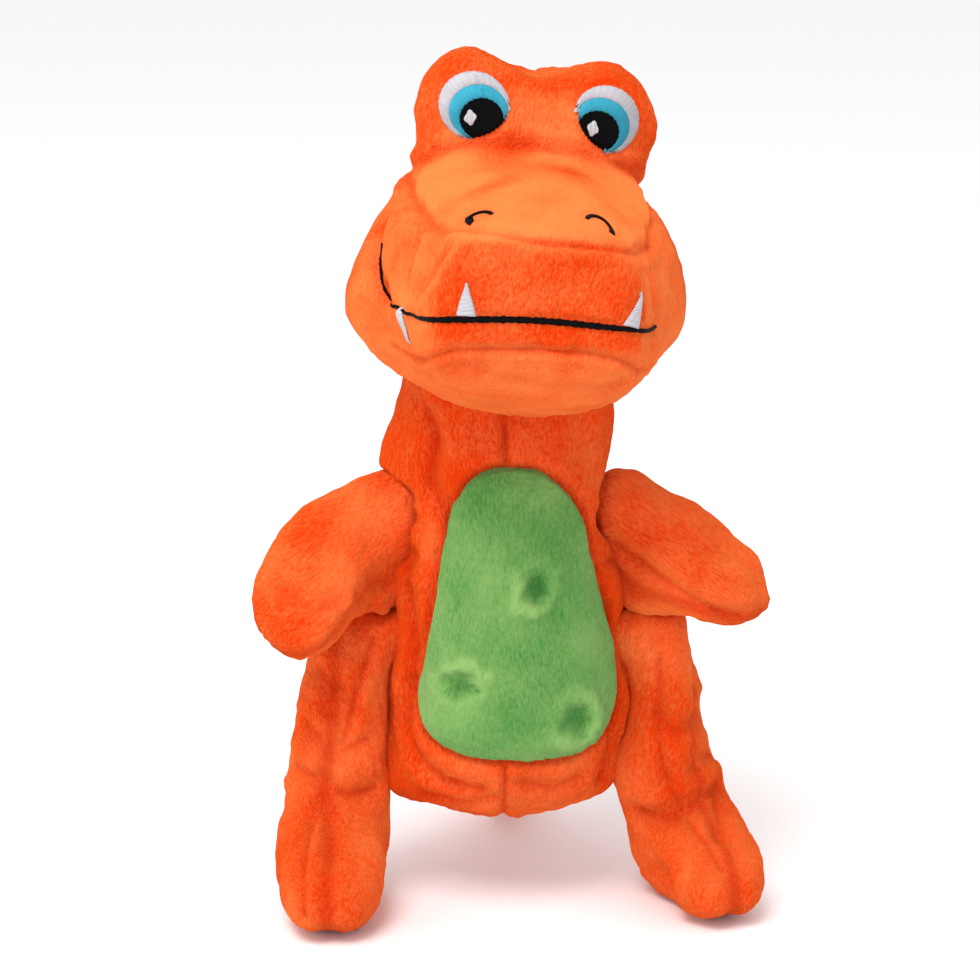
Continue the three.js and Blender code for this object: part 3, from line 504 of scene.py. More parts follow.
# The skin sags into folds at the neck, beside the belly and along the bottom.
BODY_FOLDS = [  # (across, up) along the fold, its width and depth, in millimetres
    ([(-29, 172), (-25, 163), (-23, 154), (-25, 143), (-30, 130), (-32, 118)], 4.5, 3.0),
    ([(-32, 116), (-31, 104), (-30, 90), (-31, 78)], 4.0, 2.4),
    ([(31, 100), (32, 90), (31, 80)], 3.5, 1.8),
    ([(-31, 76), (-32, 62), (-28, 52), (-20, 46), (-8, 44)], 3.5, 2.2),
    ([(-26, 40), (-15, 38), (-4, 41)], 3.0, 1.6),
    ([(31, 76), (34, 66), (33, 56), (30, 44)], 4.0, 2.4),
    ([(31, 143), (31, 130), (33, 116), (38, 104)], 3.5, 1.8),
    ([(4, 47), (14, 44), (22, 47)], 3.5, 1.4),
]
crease_shade_weights = []
co, no = points_of(body), normals_of(body)
for places, width, depth in BODY_FOLDS:
    line = onto(smooth_front, [on_body(x, z) for x, z in places], (0, 1, 0))
    co = crease(co, no, line, width / 1000, depth / 1000, crease_shade_weights)

# Seams run up the front and back and down both sides, and round the belly patch.
middle = co[:, 0] - pivot.x + 0.0012 * np.sin(co[:, 2] * 45)
front = no[:, 1] < 0
inset = inside_by(co[:, [0, 2]], edge)
inset[~front] = -1
away = inset < -0.0015
co = seam(co, no, np.where(front & ~away, 1, middle), width=0.0022, depth=0.0016)
# The seams are painted darker along their bottoms, as painted shade.
crease_shade_weights.append(np.where(front & ~away, 0, np.exp(-((middle / 0.0011) ** 2))))
crease_shade_weights.append(np.where(front, np.exp(-((inset / 0.0014) ** 2)), 0))
sides = np.where(co[:, 2] < NECK_FOOT, co[:, 1] - side_seam_y, 1)
co = seam(co, no, sides, width=0.0022, depth=0.0014)
co = seam(co, no, np.where(front, inset, 1), width=0.0020, depth=0.0015)
co -= no * (0.0034 * ease(inset / 0.0022))[:, None]
move_points(body, co)

raise_pile(body, (0, 0, 1), tuft=0.0026, height=0.0011, seed=3.0)
co, no = points_of(body), normals_of(body)
shade = waves(co, 0.022, seed=5.0)
# Over a random tone, the body's sides are painted deeper, as painted shade beside the arms and
# legs.
nap_and_shading = 0.7 + 0.4 * shade + 0.4 * ease((np.abs(co[:, 0] - pivot.x) - 0.024) / 0.01)
set_nap_and_shading(body, nap_and_shading, 0.55 * np.max(crease_shade_weights, axis=0))
body.data.materials.append(plush_cloth("orange plush body", *ORANGE_PLUSH, (0, 0, 1)))
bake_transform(body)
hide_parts(*BODY_PANELS, *BODY_FILLINGS)


# ---------------------------------------------------------------- belly patch
# An egg-shaped piece of green plush let into the front of the body, gathered from
# behind into three soft pits with puffy rims.
def grid_shape(name, along, across, place):
    """A sheet of squares whose point (u, v), each from 0 to 1, goes to place(u, v)."""
    bpy.ops.object.select_all(action="DESELECT")
    bpy.ops.mesh.primitive_grid_add(x_subdivisions=along, y_subdivisions=across, size=1)
    sheet = bpy.context.object
    sheet.name = name
    flat = points_of(sheet)
    move_points(sheet, place(flat[:, 0] + 0.5, flat[:, 1] + 0.5))
    return sheet


def close_round(sheet, reach=1e-5):
    """Joins the ends of a sheet that comes round to meet itself."""
    select_only(sheet)
    bpy.ops.object.mode_set(mode="EDIT")
    bpy.ops.mesh.select_all(action="SELECT")
    bpy.ops.mesh.remove_doubles(threshold=reach)
    bpy.ops.mesh.normals_make_consistent(inside=False)
    bpy.ops.object.mode_set(mode="OBJECT")


# across, up from the foot of the patch, and radius, in millimetres
PIT_PLACES = [(8.5, 58, 7.5), (-15, 26.5, 8.0), (20.5, 14.5, 8.5)]
CLOTH_THICKNESS = 0.0022
patch_middle = np.array([pivot.x + 0.002, patch_low.z + 0.046])


def belly_place(u, v):
    """Round the patch with u, and from its rim to its middle with v."""
    turn = u * len(edge)
    ring = np.arange(len(edge) + 1)
    closed = np.concatenate([edge, edge[:1]])
    rim = np.stack([np.interp(turn, ring, closed[:, k]) for k in range(2)], 1)
    share = (1 - v)[:, None]
    flat = patch_middle + (rim - patch_middle) * share
    places = np.stack([flat[:, 0], np.full(len(flat), -0.2), flat[:, 1]], 1)
    return onto(smooth_front, places, (0, 1, 0))


patch = grid_shape("belly_patch_plush", along=420, across=110, place=belly_place)
close_round(patch)
co = points_of(patch)
out = normals_of(patch)
if out[:, 1].mean() > 0:
    out = -out

# The patch stands a little proud of the body, and dives in where its rim is sewn down.
depth_in = inside_by(co[:, [0, 2]], edge)
proud = 0.0004 + 0.0012 * ease(depth_in / 0.007) - 0.0022 * (1 - ease(depth_in / 0.0016))
co = co + out * proud[:, None]


def pit_parts(co, x, z, radius):
    """The puffy rim and the off-centre hollow of one pit, each from 0 to 1."""
    centre = np.array([pivot.x + x / 1000, patch_low.z + z / 1000])
    off = (co[:, [0, 2]] - centre) * 1000 / radius
    rough = 0.22 * waves(co, 0.0035, seed=x) + 0.1 * waves(co, 0.0012, seed=z)
    turn = np.arctan2(off[:, 1], off[:, 0])
    r = np.linalg.norm(off, axis=1) * (1 + 0.12 * np.sin(2 * turn + x)) + rough
    rim = np.exp(-(((r - 0.85) / 0.32) ** 2)) * (0.65 + 0.35 * np.sin(turn + 0.4 * x))
    hollow = np.linalg.norm(off - (0.15, -0.12), axis=1) + rough
    return rim, np.exp(-((hollow / 0.5) ** 2))


for place in PIT_PLACES:
    rim, pit = pit_parts(co, *place)
    co = co + out * (0.0023 * rim - 0.0022 * pit)[:, None]
move_points(patch, co)
raise_pile(patch, (0, 0, 1), tuft=0.0024, height=0.0008, seed=9.0)
select_only(patch)
apply_modifier(patch, "SOLIDIFY", thickness=CLOTH_THICKNESS, offset=-1.0)
bpy.ops.object.shade_smooth()
co = points_of(patch)
nap_and_shading = 0.5 + 0.35 * waves(co, 0.02, seed=2.0)
# The hollows of the pits are painted deeper, as painted shade, and their puffy rims paler, as
# painted highlight.
for place in PIT_PLACES:
    rim, pit = pit_parts(co, *place)
    nap_and_shading += 0.4 * pit - 0.55 * rim
set_nap_and_shading(patch, nap_and_shading)
patch.data.materials.append(
    plush_cloth(
        "green plush belly",
        (0.225, 0.41, 0.12),
        (0.06, 0.26, 0.045),
        (0.04, 0.18, 0.03),
        (0.5, 0.8, 0.4),
        (0, 0, 1),
    )
)
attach(patch, "torso")
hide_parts("belly_patch")


# ---------------------------------------------------------------- head
# A big bag of plush with two bumps for the eyes and a broad boxy snout. Seams run under
# the eyes, round the top of the snout and under the lip, and pull the cloth in.
HEAD_PANELS = [
    "head_back_left",
    "head_back_right",
    "brow_panel",
    "snout_top_panel",
    "muzzle_front_panel",
    "cheek_panel_left",
    "cheek_panel_right",
    "chin_panel",
]
FINE_VOXEL = 0.003
nod = joints["head_nod"]
head_axes = np.zeros((3, 3))  # the head's own left, back and up
head_axes[0] = nod["axis"]
head_axes[0] /= np.linalg.norm(head_axes[0])
head_axes[1] = (-head_axes[0][1], head_axes[0][0], 0)
head_axes[1] /= np.linalg.norm(head_axes[1])
head_axes[2] = np.cross(head_axes[0], head_axes[1])
nod_place = np.array(nod["pos_m"])


def to_head(co):
    """Places in millimetres along the head's own axes, from the nod's pivot."""
    return (co - nod_place) @ head_axes.T * 1000


def from_head(places):
    """The way back, from millimetres on the head's own axes."""
    return nod_place + (np.asarray(places, float) / 1000) @ head_axes


def curve_through(points, count):
    """A smooth open line through the points, as that many even steps."""
    p = np.array(points, float)
    p = np.concatenate([[2 * p[0] - p[1]], p, [2 * p[-1] - p[-2]]])
    dense = [bend_between(*four) for four in zip(p[:-3], p[1:-2], p[2:-1], p[3:])]
    return even_steps(np.concatenate(dense + [p[-2:-1]]), count, True)


def nearest_on(skin, places):
    """The places, each moved to the nearest point of the skin."""
    return np.array([skin.find_nearest(Vector(p))[0] for p in places])


head = bag_from("head_plush", HEAD_PANELS + ["head_filling"], FINE_VOXEL, smoothing=8)
stuff(head, cap=0.0018)
refine(head, levels=2)

# The eye bumps stand up, with a dip between them, and the cheeks hang full and low.
HEAD_PULLS = [  # place, reach and shift on the head's own axes, in millimetres
    ((-21, 2, 96), 20, (-1, 0, 2)),
    ((20, 2, 96), 20, (1, 0, 1.2)),
    ((-34, 0, 84), 14, (-1.5, 0, 0)),
    ((-38, -4, 61), 11, (-3.5, 0, 0)),
    ((37, -2, 79), 15, (3.5, 0, 0)),
    ((35, -66, 24), 9, (4, -1, 0)),
    ((0, 2, 95), 10, (0, 0, -2.5)),
    ((-47, -20, 24), 18, (-4, 0, -1)),
    ((44, -24, 7), 18, (-5.5, 0, 0.5)),
]
co = points_of(head)
for place, radius, shift in HEAD_PULLS:
    co = pull(co, from_head(place), radius / 1000, (np.array(shift) / 1000) @ head_axes)
move_points(head, co)

co, no = points_of(head), normals_of(head)
own = to_head(co)
skin = skin_tree(head)
crease_shade_weights = []
HEAD_SEAMS = [
    # under the eyes, from side to side
    ([(-37, 8, 60), (-36, -2, 63), (-31, -9, 67), (-20, -14, 72), (-2, -15, 72.5),
      (17, -14, 71.5), (31, -9, 67), (36, -2, 62), (37, 8, 58)], 2.6, 1.5),
    # along the top of the snout's front
    ([(-33, -43, 52), (-29, -60, 54), (-22, -73, 57.5), (-7, -80, 56.5), (10, -80, 56),
      (22, -74, 55), (27, -62, 53), (32, -44, 51)], 2.4, 1.3),
    # from the brow down each side of the snout
    ([(-37, -2, 61), (-37, -15, 57.5), (-35, -29, 55), (-33, -43, 52)], 2.8, 2.0),
    ([(37, -2, 61), (37, -15, 57), (34, -29, 54), (32, -44, 51)], 2.8, 1.6),
    # under the lip
    ([(-43, -40, 12), (-36, -58, 14), (-30, -78, 21.5), (-22, -82, 24), (-2, -82.5, 25.5),
      (15, -82, 25), (25, -79, 22), (32, -62, 16), (42, -40, 12)], 1.7, 1.5),
]
for places, width, depth in HEAD_SEAMS:
    line = nearest_on(skin, from_head(curve_through(places, 40)))
    co = crease(co, no, line, width / 1000, depth / 1000, crease_shade_weights)
HEAD_FOLDS = [
    ([(-32, -72, 52), (-34, -71, 44), (-36, -66, 37)], 3.5, 1.5),
    ([(-35, -40, 50), (-38, -44, 43), (-39, -50, 36)], 5.5, 3.4),
    ([(-44, -16, 48), (-46, -24, 41), (-45, -30, 34), (-41, -40, 29)], 3.5, 2.2),
    ([(30, -62, 52), (33, -60, 42), (35, -58, 32)], 4.5, 2.2),
    ([(-22, -80, 18), (0, -78, 14), (22, -76, 15)], 6.0, 0.9),
]
for places, width, depth in HEAD_FOLDS:
    line = nearest_on(skin, from_head(curve_through(places, 16)))
    co = crease(co, no, line, width / 1000, depth / 1000, crease_shade_weights)
back_seam = np.where(own[:, 1] > 8, own[:, 0] / 1000, 1)
co = seam(co, no, back_seam, width=0.0022, depth=0.0014)
# The back seam is painted darker too, as painted shade.
crease_shade_weights.append(np.exp(-((back_seam / 0.0011) ** 2)))
co = co + no * (0.0009 * waves(own, 24, seed=4.0))[:, None]
move_points(head, co)
head_shape = skin_tree(head)


# ---------------------------------------------------------------- eyes
# Satin-stitched rings of white, blue and black thread, with a white glint. The threads
# of each ring run outwards, and the lower inner edge is cut off flat by the lid.
def thread_finish(name, colour, sheen, count, way="UV"):
    """Satin stitches laid side by side; count of them along the piece, or per metre."""
    finish = bpy.data.materials.new(name)
    finish.use_nodes = True
    tree = finish.node_tree
    shader = tree.nodes["Principled BSDF"]
    shader.inputs["Roughness"].default_value = 0.6
    shader.inputs["Specular IOR Level"].default_value = sheen
    shader.inputs["Anisotropic"].default_value = 0.4
    place = add_node(tree, "ShaderNodeTexCoord").outputs[way]
    wobble = add_node(
        tree, "ShaderNodeTexNoise", {"Vector": place, "Scale": count / 9, "Detail": 1.0}
    ).outputs["Fac"]
    parts = add_node(tree, "ShaderNodeSeparateXYZ", {0: place}).outputs["X"]
    threads = add_node(
        tree, "ShaderNodeMath", {0: parts, 1: count, 2: wobble}, operation="MULTIPLY_ADD"
    ).outputs[0]
    turn = add_node(
        tree, "ShaderNodeMath", {0: threads, 1: math.pi}, operation="MULTIPLY"
    ).outputs[0]
    wave = add_node(tree, "ShaderNodeMath", {0: turn}, operation="SINE").outputs[0]
    ridge = add_node(tree, "ShaderNodeMath", {0: wave}, operation="ABSOLUTE").outputs[0]
    one = add_node(tree, "ShaderNodeMath", {0: threads}, operation="FLOOR").outputs[0]
    odd = add_node(
        tree, "ShaderNodeTexWhiteNoise", {"W": one}, noise_dimensions="1D"
    ).outputs["Value"]
    uneven = add_node(
        tree, "ShaderNodeMath", {0: odd, 1: 0.3, 2: ridge}, operation="MULTIPLY_ADD"
    ).outputs[0]
    light = add_node(
        tree,
        "ShaderNodeMapRange",
        {"Value": uneven, "From Min": 0.1, "From Max": 1.1, "To Min": 0.0, "To Max": 1.0},
    ).outputs["Result"]
    shade = tuple(c * 0.42 for c in colour)
    mixed = add_node(
        tree,
        "ShaderNodeMix",
        {"Factor": light, "A": (*shade, 1), "B": (*colour, 1)},
        data_type="RGBA",
    )
    tree.links.new(mixed.outputs["Result"], shader.inputs["Base Color"])
    bump = add_node(
        tree, "ShaderNodeBump", {"Height": ridge, "Strength": 0.9, "Distance": 0.0005}
    )
    tree.links.new(bump.outputs["Normal"], shader.inputs["Normal"])
    return finish


WHITE = (0.84, 0.81, 0.87)
GLINT_WHITE = (0.9, 0.9, 0.95)
BLUE = (0.045, 0.6, 0.84)
BLACK = (0.003, 0.0025, 0.0035)
RING_STITCHES = 112
STITCH_POINTS = 6  # mesh points across one stitch
EYE_X = 19.8
EYE_Z = 84.0
EYE_SHIFT = {"right": (0, 0), "left": (-0.5, -1.0)}
EYE_RINGS = {  # towards the nose, up, half width, half height
    "white": (0, 0, 10.5, 9.9),
    "iris": (1.5, -1.7, 9.0, 8.2),
    "pupil": (2.5, -3.6, 6.7, 6.2),
}
GLINTS = {"right": (-1.0, -3.4, 1.8, 2.4), "left": (4.0, -2.7, 1.8, 2.4)}
LIDS = {"right": (-2.9, 5.7, 15.3), "left": (-4.4, 4.4, 13.9)}  # towards the nose, up, radius
sewn_places = []


def eye_outline(turn, ring, name, grow=0.0):
    """The rim of a ring of the eye, cut off by the lid: [across, up] on the face."""
    across, up, wide, high = ring
    p = np.stack(
        [across + (wide + grow) * np.cos(turn), up + (high + grow) * np.sin(turn)], 1
    )
    *centre, radius = LIDS[name]
    from_lid = p - centre
    reach = np.linalg.norm(from_lid, axis=1, keepdims=True)
    p = np.where(reach > radius, centre + from_lid / reach * radius, p) + EYE_SHIFT[name]
    side = 1 if name == "left" else -1
    return np.stack([side * (EYE_X - p[:, 0]), EYE_Z + p[:, 1]], 1)


def open_part(outer, inner, name):
    """From what turn to what turn a ring is wide enough to be sewn."""
    turn = np.radians(np.arange(-90, 270, 0.5))
    side = 1 if name == "left" else -1
    outward = np.stack([-side * np.cos(turn), np.sin(turn)], 1)
    apart = eye_outline(turn, outer, name) - eye_outline(turn, inner, name)
    wide = (apart * outward).sum(1)
    grown = eye_outline(turn, outer, name, 0.1) - eye_outline(turn, outer, name)
    cut = np.where((wide < 0.25) | (np.linalg.norm(grown, axis=1) < 0.07))[0]
    upright = len(turn) // 2
    return turn[cut[cut < upright].max()], turn[cut[cut > upright].min()]


THREAD_THICKNESS = 0.0009


def sewn(piece, finish, node):
    """Gives embroidery its backing, finish and place on the head."""
    co = points_of(piece)
    sewn_places.append(co)
    apply_modifier(piece, "SOLIDIFY", thickness=THREAD_THICKNESS, offset=-1.0)
    bpy.ops.object.shade_smooth()
    piece.data.materials.append(finish)
    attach(piece, "head")
    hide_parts(node)


def face_out(piece):
    """Turns a sheet over where it faces into the head."""
    middle = from_head((0, -10, 45))
    out = ((points_of(piece) - middle) * normals_of(piece)).sum(1).mean()
    if out < 0:
        piece.data.flip_normals()


def stood_off(met, height):
    """Places met on the head, each raised by its own height along the normal there."""
    spots = np.array([m[0] for m in met])
    out = np.array([m[1] for m in met])
    return spots + out * np.asarray(height)[:, None]


def lifted(places, height):
    """The places, each moved to the nearest point of the head and raised from it."""
    return stood_off([head_shape.find_nearest(Vector(p)) for p in places], height)


def on_face(flat, height):
    """Puts points seen from the front of the face on it: [across, up] in millimetres."""
    start = from_head(np.column_stack([flat[:, 0], np.full(len(flat), -60.0), flat[:, 1]]))
    back = Vector(head_axes[1])
    met = []
    for p in start:
        hit = head_shape.ray_cast(Vector(p), back)
        met.append(hit if hit[0] else head_shape.find_nearest(Vector(p)))
    return stood_off(met, height)


for name in ("left", "right"):
    for ring, inner, slot, colour in [
        ("white", "iris", "white_thread", WHITE),
        ("iris", "pupil", "blue_thread", BLUE),
    ]:
        first, last = open_part(EYE_RINGS[ring], EYE_RINGS[inner], name)

        def ring_place(u, v):
            turn = first + (last - first) * u
            outside = eye_outline(turn, EYE_RINGS[ring], name)
            inside = eye_outline(turn, EYE_RINGS[inner], name, -0.35)
            jag = 0.035 * np.sin(u * 395) * np.sin(u * 251)
            point = ease(u / 0.07) * ease((1 - u) / 0.07)
            flat = inside + (outside - inside) * (v * (1 + jag) * point)[:, None]
            width = np.linalg.norm(outside - inside, axis=1) * point
            dome = np.minimum(1, width / 1.6) * (1 - np.abs(2 * v - 1) ** 3)
            stitch = 0.14 * np.abs(np.sin(u * RING_STITCHES * math.pi)) * np.minimum(1, dome * 2)
            return on_face(flat, (0.5 * dome + stitch) / 1000)

        around = RING_STITCHES * STITCH_POINTS
        piece = grid_shape(f"eye_{ring}_{name}_thread", around, across=10, place=ring_place)
        face_out(piece)
        finish = thread_finish(f"{ring} eye thread {name}", colour, sheen=0.4, count=RING_STITCHES)
        sewn(piece, finish, f"eye_{ring}_{name}")

    for ring, shape, slot, colour, height in [
        ("pupil", EYE_RINGS["pupil"], "black_thread", BLACK, 0.6),
        ("glint", GLINTS[name], "white_thread", GLINT_WHITE, 0.85),
    ]:

        def disc_place(u, v):
            turn = u * 2 * math.pi
            rim = eye_outline(turn, shape, name)
            jag = 1 + 0.03 * np.sin(turn * 23) + 0.02 * np.sin(turn * 41)
            if ring == "glint":
                jag = jag + 0.12 * np.sin(turn * 4 + 0.6)
            centre = rim.mean(0)
            flat = centre + (rim - centre) * (np.clip(v, 0.01, 1) * jag)[:, None]
            return on_face(flat, (0.05 + height * (1 - v**6 * 0.7)) / 1000)

        piece = grid_shape(f"eye_{ring}_{name}_thread", along=140, across=24, place=disc_place)
        close_round(piece)
        face_out(piece)
        finish = thread_finish(
            f"{ring} eye thread {name}", colour, sheen=0.06, count=2600, way="Object"
        )
        sewn(piece, finish, f"eye_{ring}_{name}")


# ---------------------------------------------------------------- mouth and nostrils
# Black satin stitch: one long line round the snout and up both cheeks, and two short
# arcs on top of the snout.
def ribbon(name, line, half_widths, height, steps_along):
    """A domed band of thread along a line that lies on the head. Its half widths and
    its height are in millimetres."""
    line = nearest_on(head_shape, line)
    run = np.gradient(line, axis=0)
    run /= np.linalg.norm(run, axis=1, keepdims=True)
    out = np.array([head_shape.find_nearest(Vector(p))[1] for p in line])
    side = np.cross(run, out)
    side /= np.linalg.norm(side, axis=1, keepdims=True)

    def place(u, v):
        at = u * (len(line) - 1)
        steps = np.arange(len(line))
        mid = np.stack([np.interp(at, steps, line[:, k]) for k in range(3)], 1)
        off = np.stack([np.interp(at, steps, side[:, k]) for k in range(3)], 1)
        half = np.interp(at, steps, half_widths)
        flat = mid + off * ((2 * v - 1) * half)[:, None] / 1000
        dome = np.sqrt(np.clip(1 - (2 * v - 1) ** 2, 0, 1))
        return lifted(flat, (height * dome - 0.05) / 1000)

    piece = grid_shape(name, steps_along, across=7, place=place)
    face_out(piece)
    return piece


MOUTH = [  # from the toy's right cheek to its left, on the head's own axes
    (-46, -24.5, 42.6),
    (-46.2, -25.5, 39.7),
    (-45.5, -29.7, 34.5),
    (-43, -36, 29.5),
    (-39.5, -47, 28),
    (-37, -60, 29),
    (-34.5, -74, 30.6),
    (-24, -82.5, 33),
    (-3, -83, 34.2),
    (18, -82, 33.6),
    (28, -78, 32.5),
    (31, -66, 31),
    (33, -56, 30),
]
MOUTH_STEPS = 360
mouth_line = from_head(curve_through(MOUTH, MOUTH_STEPS))
along = np.linspace(0, 1, MOUTH_STEPS)
thick = 0.34 + 0.6 * ease((along - 0.28) / 0.2) - 0.4 * ease((along - 0.7) / 0.2)
thick = thick * (1 + 0.1 * np.sin(along * 410) + 0.08 * np.sin(along * 173))
mouth = ribbon("mouth_line_thread", mouth_line, thick, height=0.45, steps_along=700)
finish = thread_finish("black satin stitch", BLACK, sheen=0.08, count=420)
sewn(mouth, finish, "mouth_line")

for across, back, side, name in [(13.8, -69.5, 1, "left"), (-23.2, -67, -1, "right")]:
    turn = np.linspace(0.05, 1.12, 44) * math.pi
    above = np.full(len(turn), 62.0)
    arc = np.stack([across - side * 4.8 * np.cos(turn), back + 5 * np.sin(turn), above], 1)
    nostril = ribbon(
        f"nostril_{name}_thread",
        from_head(arc),
        0.7 + 0.35 * ease((turn / math.pi - 0.8) / 0.2),
        height=0.4,
        steps_along=120,
    )
    finish = thread_finish(f"nostril stitch {name}", BLACK, sheen=0.08, count=40)
    sewn(nostril, finish, f"nostril_{name}")


# ---------------------------------------------------------------- teeth
# Narrow triangles of white satin stitch that stand on the mouth line, two up and two down.
def tooth(node, base, tip, half_width):
    """A domed triangle of stitches from its base on the mouth line to its tip."""
    name = f"{node}_thread"
    base, tip = np.array(base, float), np.array(tip, float)
    out = np.array([base[0], 0, 0]) if abs(base[0]) > 35 else np.array([0, -1, 0])
    wide = np.cross(tip - base, out)
    wide /= np.linalg.norm(wide)

    def place(u, v):
        taper = (1 - u) ** 0.85 * half_width
        flat = base + np.outer(u, tip - base) + np.outer((2 * v - 1) * taper, wide)
        dome = (1 - np.abs(2 * v - 1) ** 4) * np.clip(taper / 0.8, 0, 1)
        return lifted(from_head(flat), 0.55 * dome / 1000)

    piece = grid_shape(name, along=48, across=16, place=place)
    close_round(piece, 2e-5)
    face_out(piece)
    finish = thread_finish(name.replace("_", " "), WHITE, sheen=0.45, count=26)
    sewn(piece, finish, node)


TEETH = {  # base, tip and half width on the head's own axes, in millimetres
    "tooth_upper_right": ((-24.5, -82, 34), (-25, -81, 43.5), 3.0),
    "tooth_upper_left": ((23, -80, 34), (25.5, -78, 44), 3.0),
    "tooth_lower_right": ((-39, -51, 28), (-38, -56, 18.5), 3.0),
    "tooth_lower_left": ((35, -47, 25), (35, -51.5, 17), 2.7),
}
for node, measures in TEETH.items():
    tooth(node, *measures)

# The pile stands up round the embroidery and is pressed flat under it.
co, no = points_of(head), normals_of(head)
sewn_all = np.concatenate(sewn_places)
sewn_tree = KDTree(len(sewn_all))
for i, p in enumerate(sewn_all):
    sewn_tree.insert(p, i)
sewn_tree.balance()
gap = np.array([sewn_tree.find(p)[2] for p in co])
under = 1 - ease((gap - 0.0008) / 0.0012)
HEAD_BRUSH = (0.1, 0.5, 0.85)  # the way in which the head's pile is brushed
raise_pile(head, HEAD_BRUSH, tuft=0.0025, height=0.0010, seed=6.0)
raised = points_of(head)
move_points(head, raised + (co - no * 0.0003 - raised) * under[:, None])

# It lies flat and pale on top of the snout, and is brushed up on the brow and in front.
# Beyond the pile, the pale top and the paler sides of the snout are painted highlight
# from the light above, and the deeper front faces are painted shade.
co, no = points_of(head), normals_of(head)
own, way = to_head(co), no @ head_axes.T
nap_and_shading = 0.6 + 0.3 * waves(own, 20, seed=8.0)
snout_edge = 56.5 - 4.5 * (own[:, 0] / 33) ** 2 + 5 * np.clip((own[:, 1] + 60) / 45, 0, 1)
flat_and_lit_top = ease((own[:, 2] - snout_edge + 1) / 3) * ease((-8 - own[:, 1]) / 6)
nap_and_shading -= 0.55 * flat_and_lit_top
front = ease((-0.15 - way[:, 1]) / 0.8) * ease((own[:, 2] - 24) / 5) * ease((-55 - own[:, 1]) / 14)
nap_and_shading += 0.12 * front * (1 - flat_and_lit_top)
nap_and_shading -= 0.25 * (1 - front) * (1 - flat_and_lit_top) * ease((-15 - own[:, 1]) / 10)
nap_and_shading += 0.2 * ease((own[:, 2] - 66) / 4)
for x, y, z, reach in [(-15, -41, 66, 9), (9, -30, 68, 8), (-8, -16, 73, 8)]:
    away = (own - (x, y, z)) / (reach, 4.5, 5)
    nap_and_shading += 0.5 * np.exp(-(away**2).sum(1))
set_nap_and_shading(head, nap_and_shading, 0.42 * np.max(crease_shade_weights, axis=0))
head.data.materials.append(plush_cloth("orange plush head", *ORANGE_PLUSH, HEAD_BRUSH))
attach(head, "head")
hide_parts(*HEAD_PANELS, "head_filling")


# ---------------------------------------------------------------- arms, legs and tail
# Flat paddles and soft boots, each of two panels with a seam round the edge, turned
# and lightly filled, and sewn into the body's side.
def limb(name, body_name, panels, filling, pulls, folds, along, seed, softness=20):
    """A limb from its two panels, pulled into shape and then seamed and folded. The
    softness is how many times the pulled shape is smoothed."""
    bag = bag_from(name, panels + [filling], FINE_VOXEL, smoothing=8)
    stuff(bag, cap=0.0016)
    refine(bag, levels=2)
    edge_of = panel_side(*panels)
    co = points_of(bag)
    gap_between = edge_of(co)
    for place, radius, shift in pulls:
        co = pull(co, np.array(place) / 1000, radius / 1000, np.array(shift) / 1000)
    move_points(bag, co)
    apply_modifier(bag, "SMOOTH", factor=0.5, iterations=softness)
    co, no = points_of(bag), normals_of(bag)
    co = seam(co, no, gap_between, width=0.0028, depth=0.0017)
    skin = skin_tree(bag)
    # The seam round the edge and the folds are painted darker, as painted shade.
    crease_shade_weights = [np.exp(-((gap_between / 0.001) ** 2))]
    for places, width, depth in folds:
        line = onto(skin, curve_through(places, 24) / 1000, (0, 1, 0))
        co = crease(co, no, line, width / 1000, depth / 1000, crease_shade_weights)
    move_points(bag, co)
    raise_pile(bag, along, tuft=0.0025, height=0.0010, seed=seed)
    co = points_of(bag)
    nap_and_shading = 0.66 + 0.45 * waves(co, 0.02, seed)
    set_nap_and_shading(bag, nap_and_shading, 0.6 * np.max(crease_shade_weights, axis=0))
    bag.data.materials.append(plush_cloth(f"orange plush {name}", *ORANGE_PLUSH, along))
    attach(bag, body_name)
    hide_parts(*panels, filling)


def panel_side(first, second):
    """Measures how far points are from the seam between two panels, which is where the
    two are equally near."""
    trees = [skin_tree(frame["nodes"][node]) for node in (first, second)]

    def distance(co):
        a = np.array([trees[0].find_nearest(Vector(p))[3] for p in co])
        b = np.array([trees[1].find_nearest(Vector(p))[3] for p in co])
        return (a - b) / 2

    return distance


# Pulls are a place, its reach and a shift; folds are places, a width and a depth. All
# are in millimetres in the toy's own frame.
ARM_PULLS = {
    "left": [
        ((38, -10, 112), 19, (-4, 0, -14)),
        ((50, -12, 104), 16, (0, 0, -4)),
        ((79, -18, 97), 14, (2, 0, -5)),
        ((66, -10, 120), 16, (-1, 0, -7)),
        ((66, -18, 92), 12, (0, 0, -3)),
        ((79, -18, 111), 9, (-3, 0, -4)),
        ((80, -18, 102), 8, (2, 0, 0)),
        ((75, -18, 93), 7, (-1.5, 0, 1.5)),
    ],
    "right": [
        ((-42, -10, 113), 19, (5, 0, -14)),
        ((-50, -16, 100), 16, (4, 0, -4)),
        ((-80, -15, 98), 16, (-2.5, 0, -1)),
        ((-46, -8, 132), 11, (0, 0, 5)),
    ],
}
ARM_FOLDS = {
    "left": [
        ([(31, -20, 120), (43, -20, 113.4), (58, -20, 104.3), (69.4, -20, 99.8)], 3.2, 2.4),
    ],
    "right": [
        ([(-80, -20, 95), (-67, -20, 86.5), (-53, -20, 85), (-45, -20, 91)], 3.2, 2.4),
        ([(-72, -20, 113), (-62, -20, 108), (-54, -20, 110)], 6, 1.2),
    ],
}
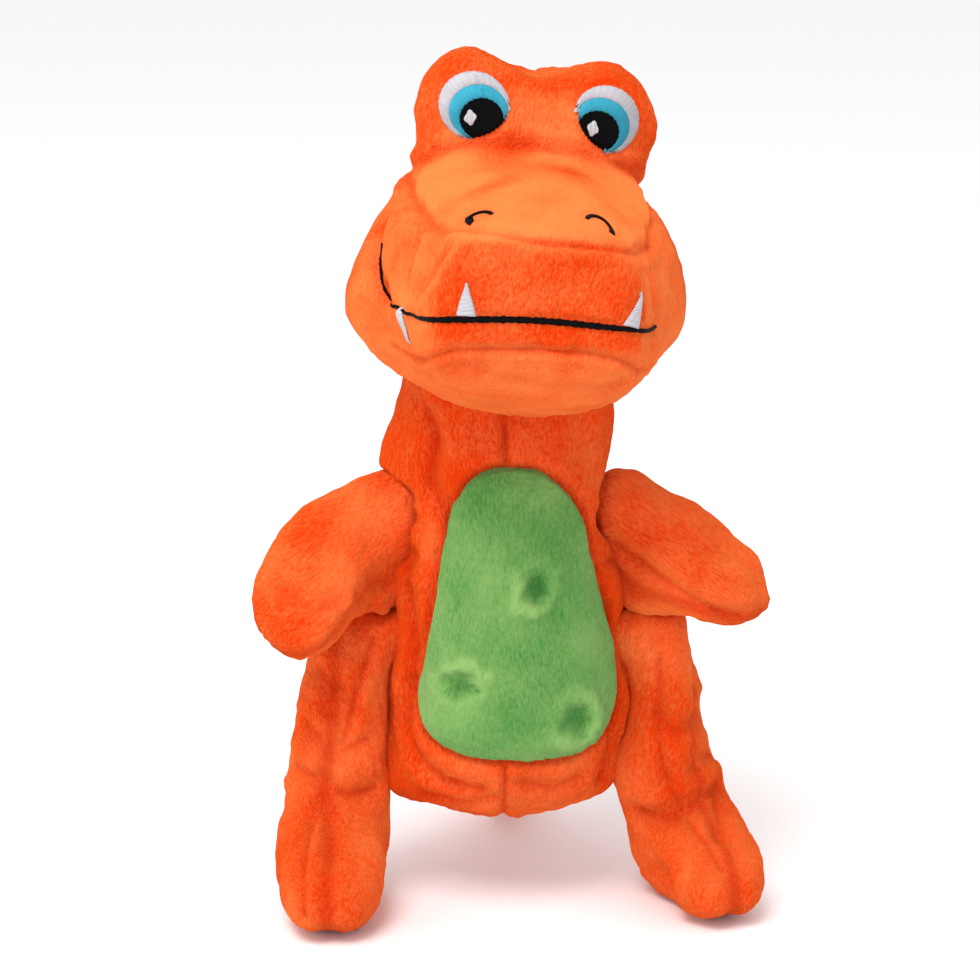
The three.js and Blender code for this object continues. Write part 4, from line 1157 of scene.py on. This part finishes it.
for side, name in [(1, "left"), (-1, "right")]:
    limb(
        f"arm_{name}_plush",
        f"{name}_arm",
        [f"arm_{name}_upper_panel", f"arm_{name}_under_panel"],
        f"arm_{name}_filling",
        ARM_PULLS[name],
        ARM_FOLDS[name],
        along=(side, -0.4, -0.7),
        seed=11.0 + side,
        softness=70,
    )
LEG_PULLS = {
    "left": [
        ((36, -12, 44), 20, (-7, 0, 0)),
        ((66, -5, 56), 16, (-5.5, 0, 0)),
        ((38, -12, 88), 14, (-4, -2, 5)),
        ((48, -20, 10), 12, (6, 0, 3)),
    ],
    "right": [
        ((-62, -20, 45), 22, (-3, 0, 0)),
        ((-70, -12, 25), 25, (-2.5, 0, 0)),
        ((-40, -14, 88), 14, (4, -3, 5)),
        ((-44, -20, 8), 12, (-4, 0, 4)),
        ((-62, -12, 70), 12, (-2, -2, 0)),
    ],
}
LEG_FOLDS = {
    "left": [
        ([(46, -30, 84), (46, -30, 57), (49, -30, 44), (54, -30, 33), (62, -30, 25),
          (72, -30, 12)], 2.4, 1.5),
        ([(40, -30, 31), (50, -30, 31.5), (60, -30, 36), (68, -30, 38)], 4.0, 2.9),
        ([(44, -30, 66), (52, -30, 60), (62, -30, 63)], 4.0, 1.8),
        ([(58, -30, 52), (64, -30, 46)], 4.0, 1.6),
    ],
    "right": [
        ([(-44, -30, 91), (-49, -30, 74), (-53, -30, 59), (-59, -30, 42), (-65, -30, 27.5),
          (-65, -30, 10)], 2.4, 1.5),
        ([(-72, -30, 48), (-62, -30, 45), (-52, -30, 40), (-44, -30, 41)], 4.0, 2.8),
        ([(-66, -30, 62), (-56, -30, 55), (-46, -30, 58)], 4.0, 1.8),
        ([(-62, -30, 80), (-54, -30, 76)], 4.0, 1.6),
    ],
}
for side, name in [(1, "left"), (-1, "right")]:
    limb(
        f"leg_{name}_plush",
        f"{name}_leg",
        [f"leg_{name}_outer_panel", f"leg_{name}_inner_panel"],
        f"leg_{name}_filling",
        LEG_PULLS[name],
        LEG_FOLDS[name],
        along=(0.15 * side, -0.2, 1),
        seed=15.0 + side,
    )
limb(
    "tail_plush",
    "tail",
    ["tail_panel_left", "tail_panel_right"],
    "tail_filling",
    pulls=[],
    folds=[],
    along=(0, 1, -0.5),
    seed=19.0,
)
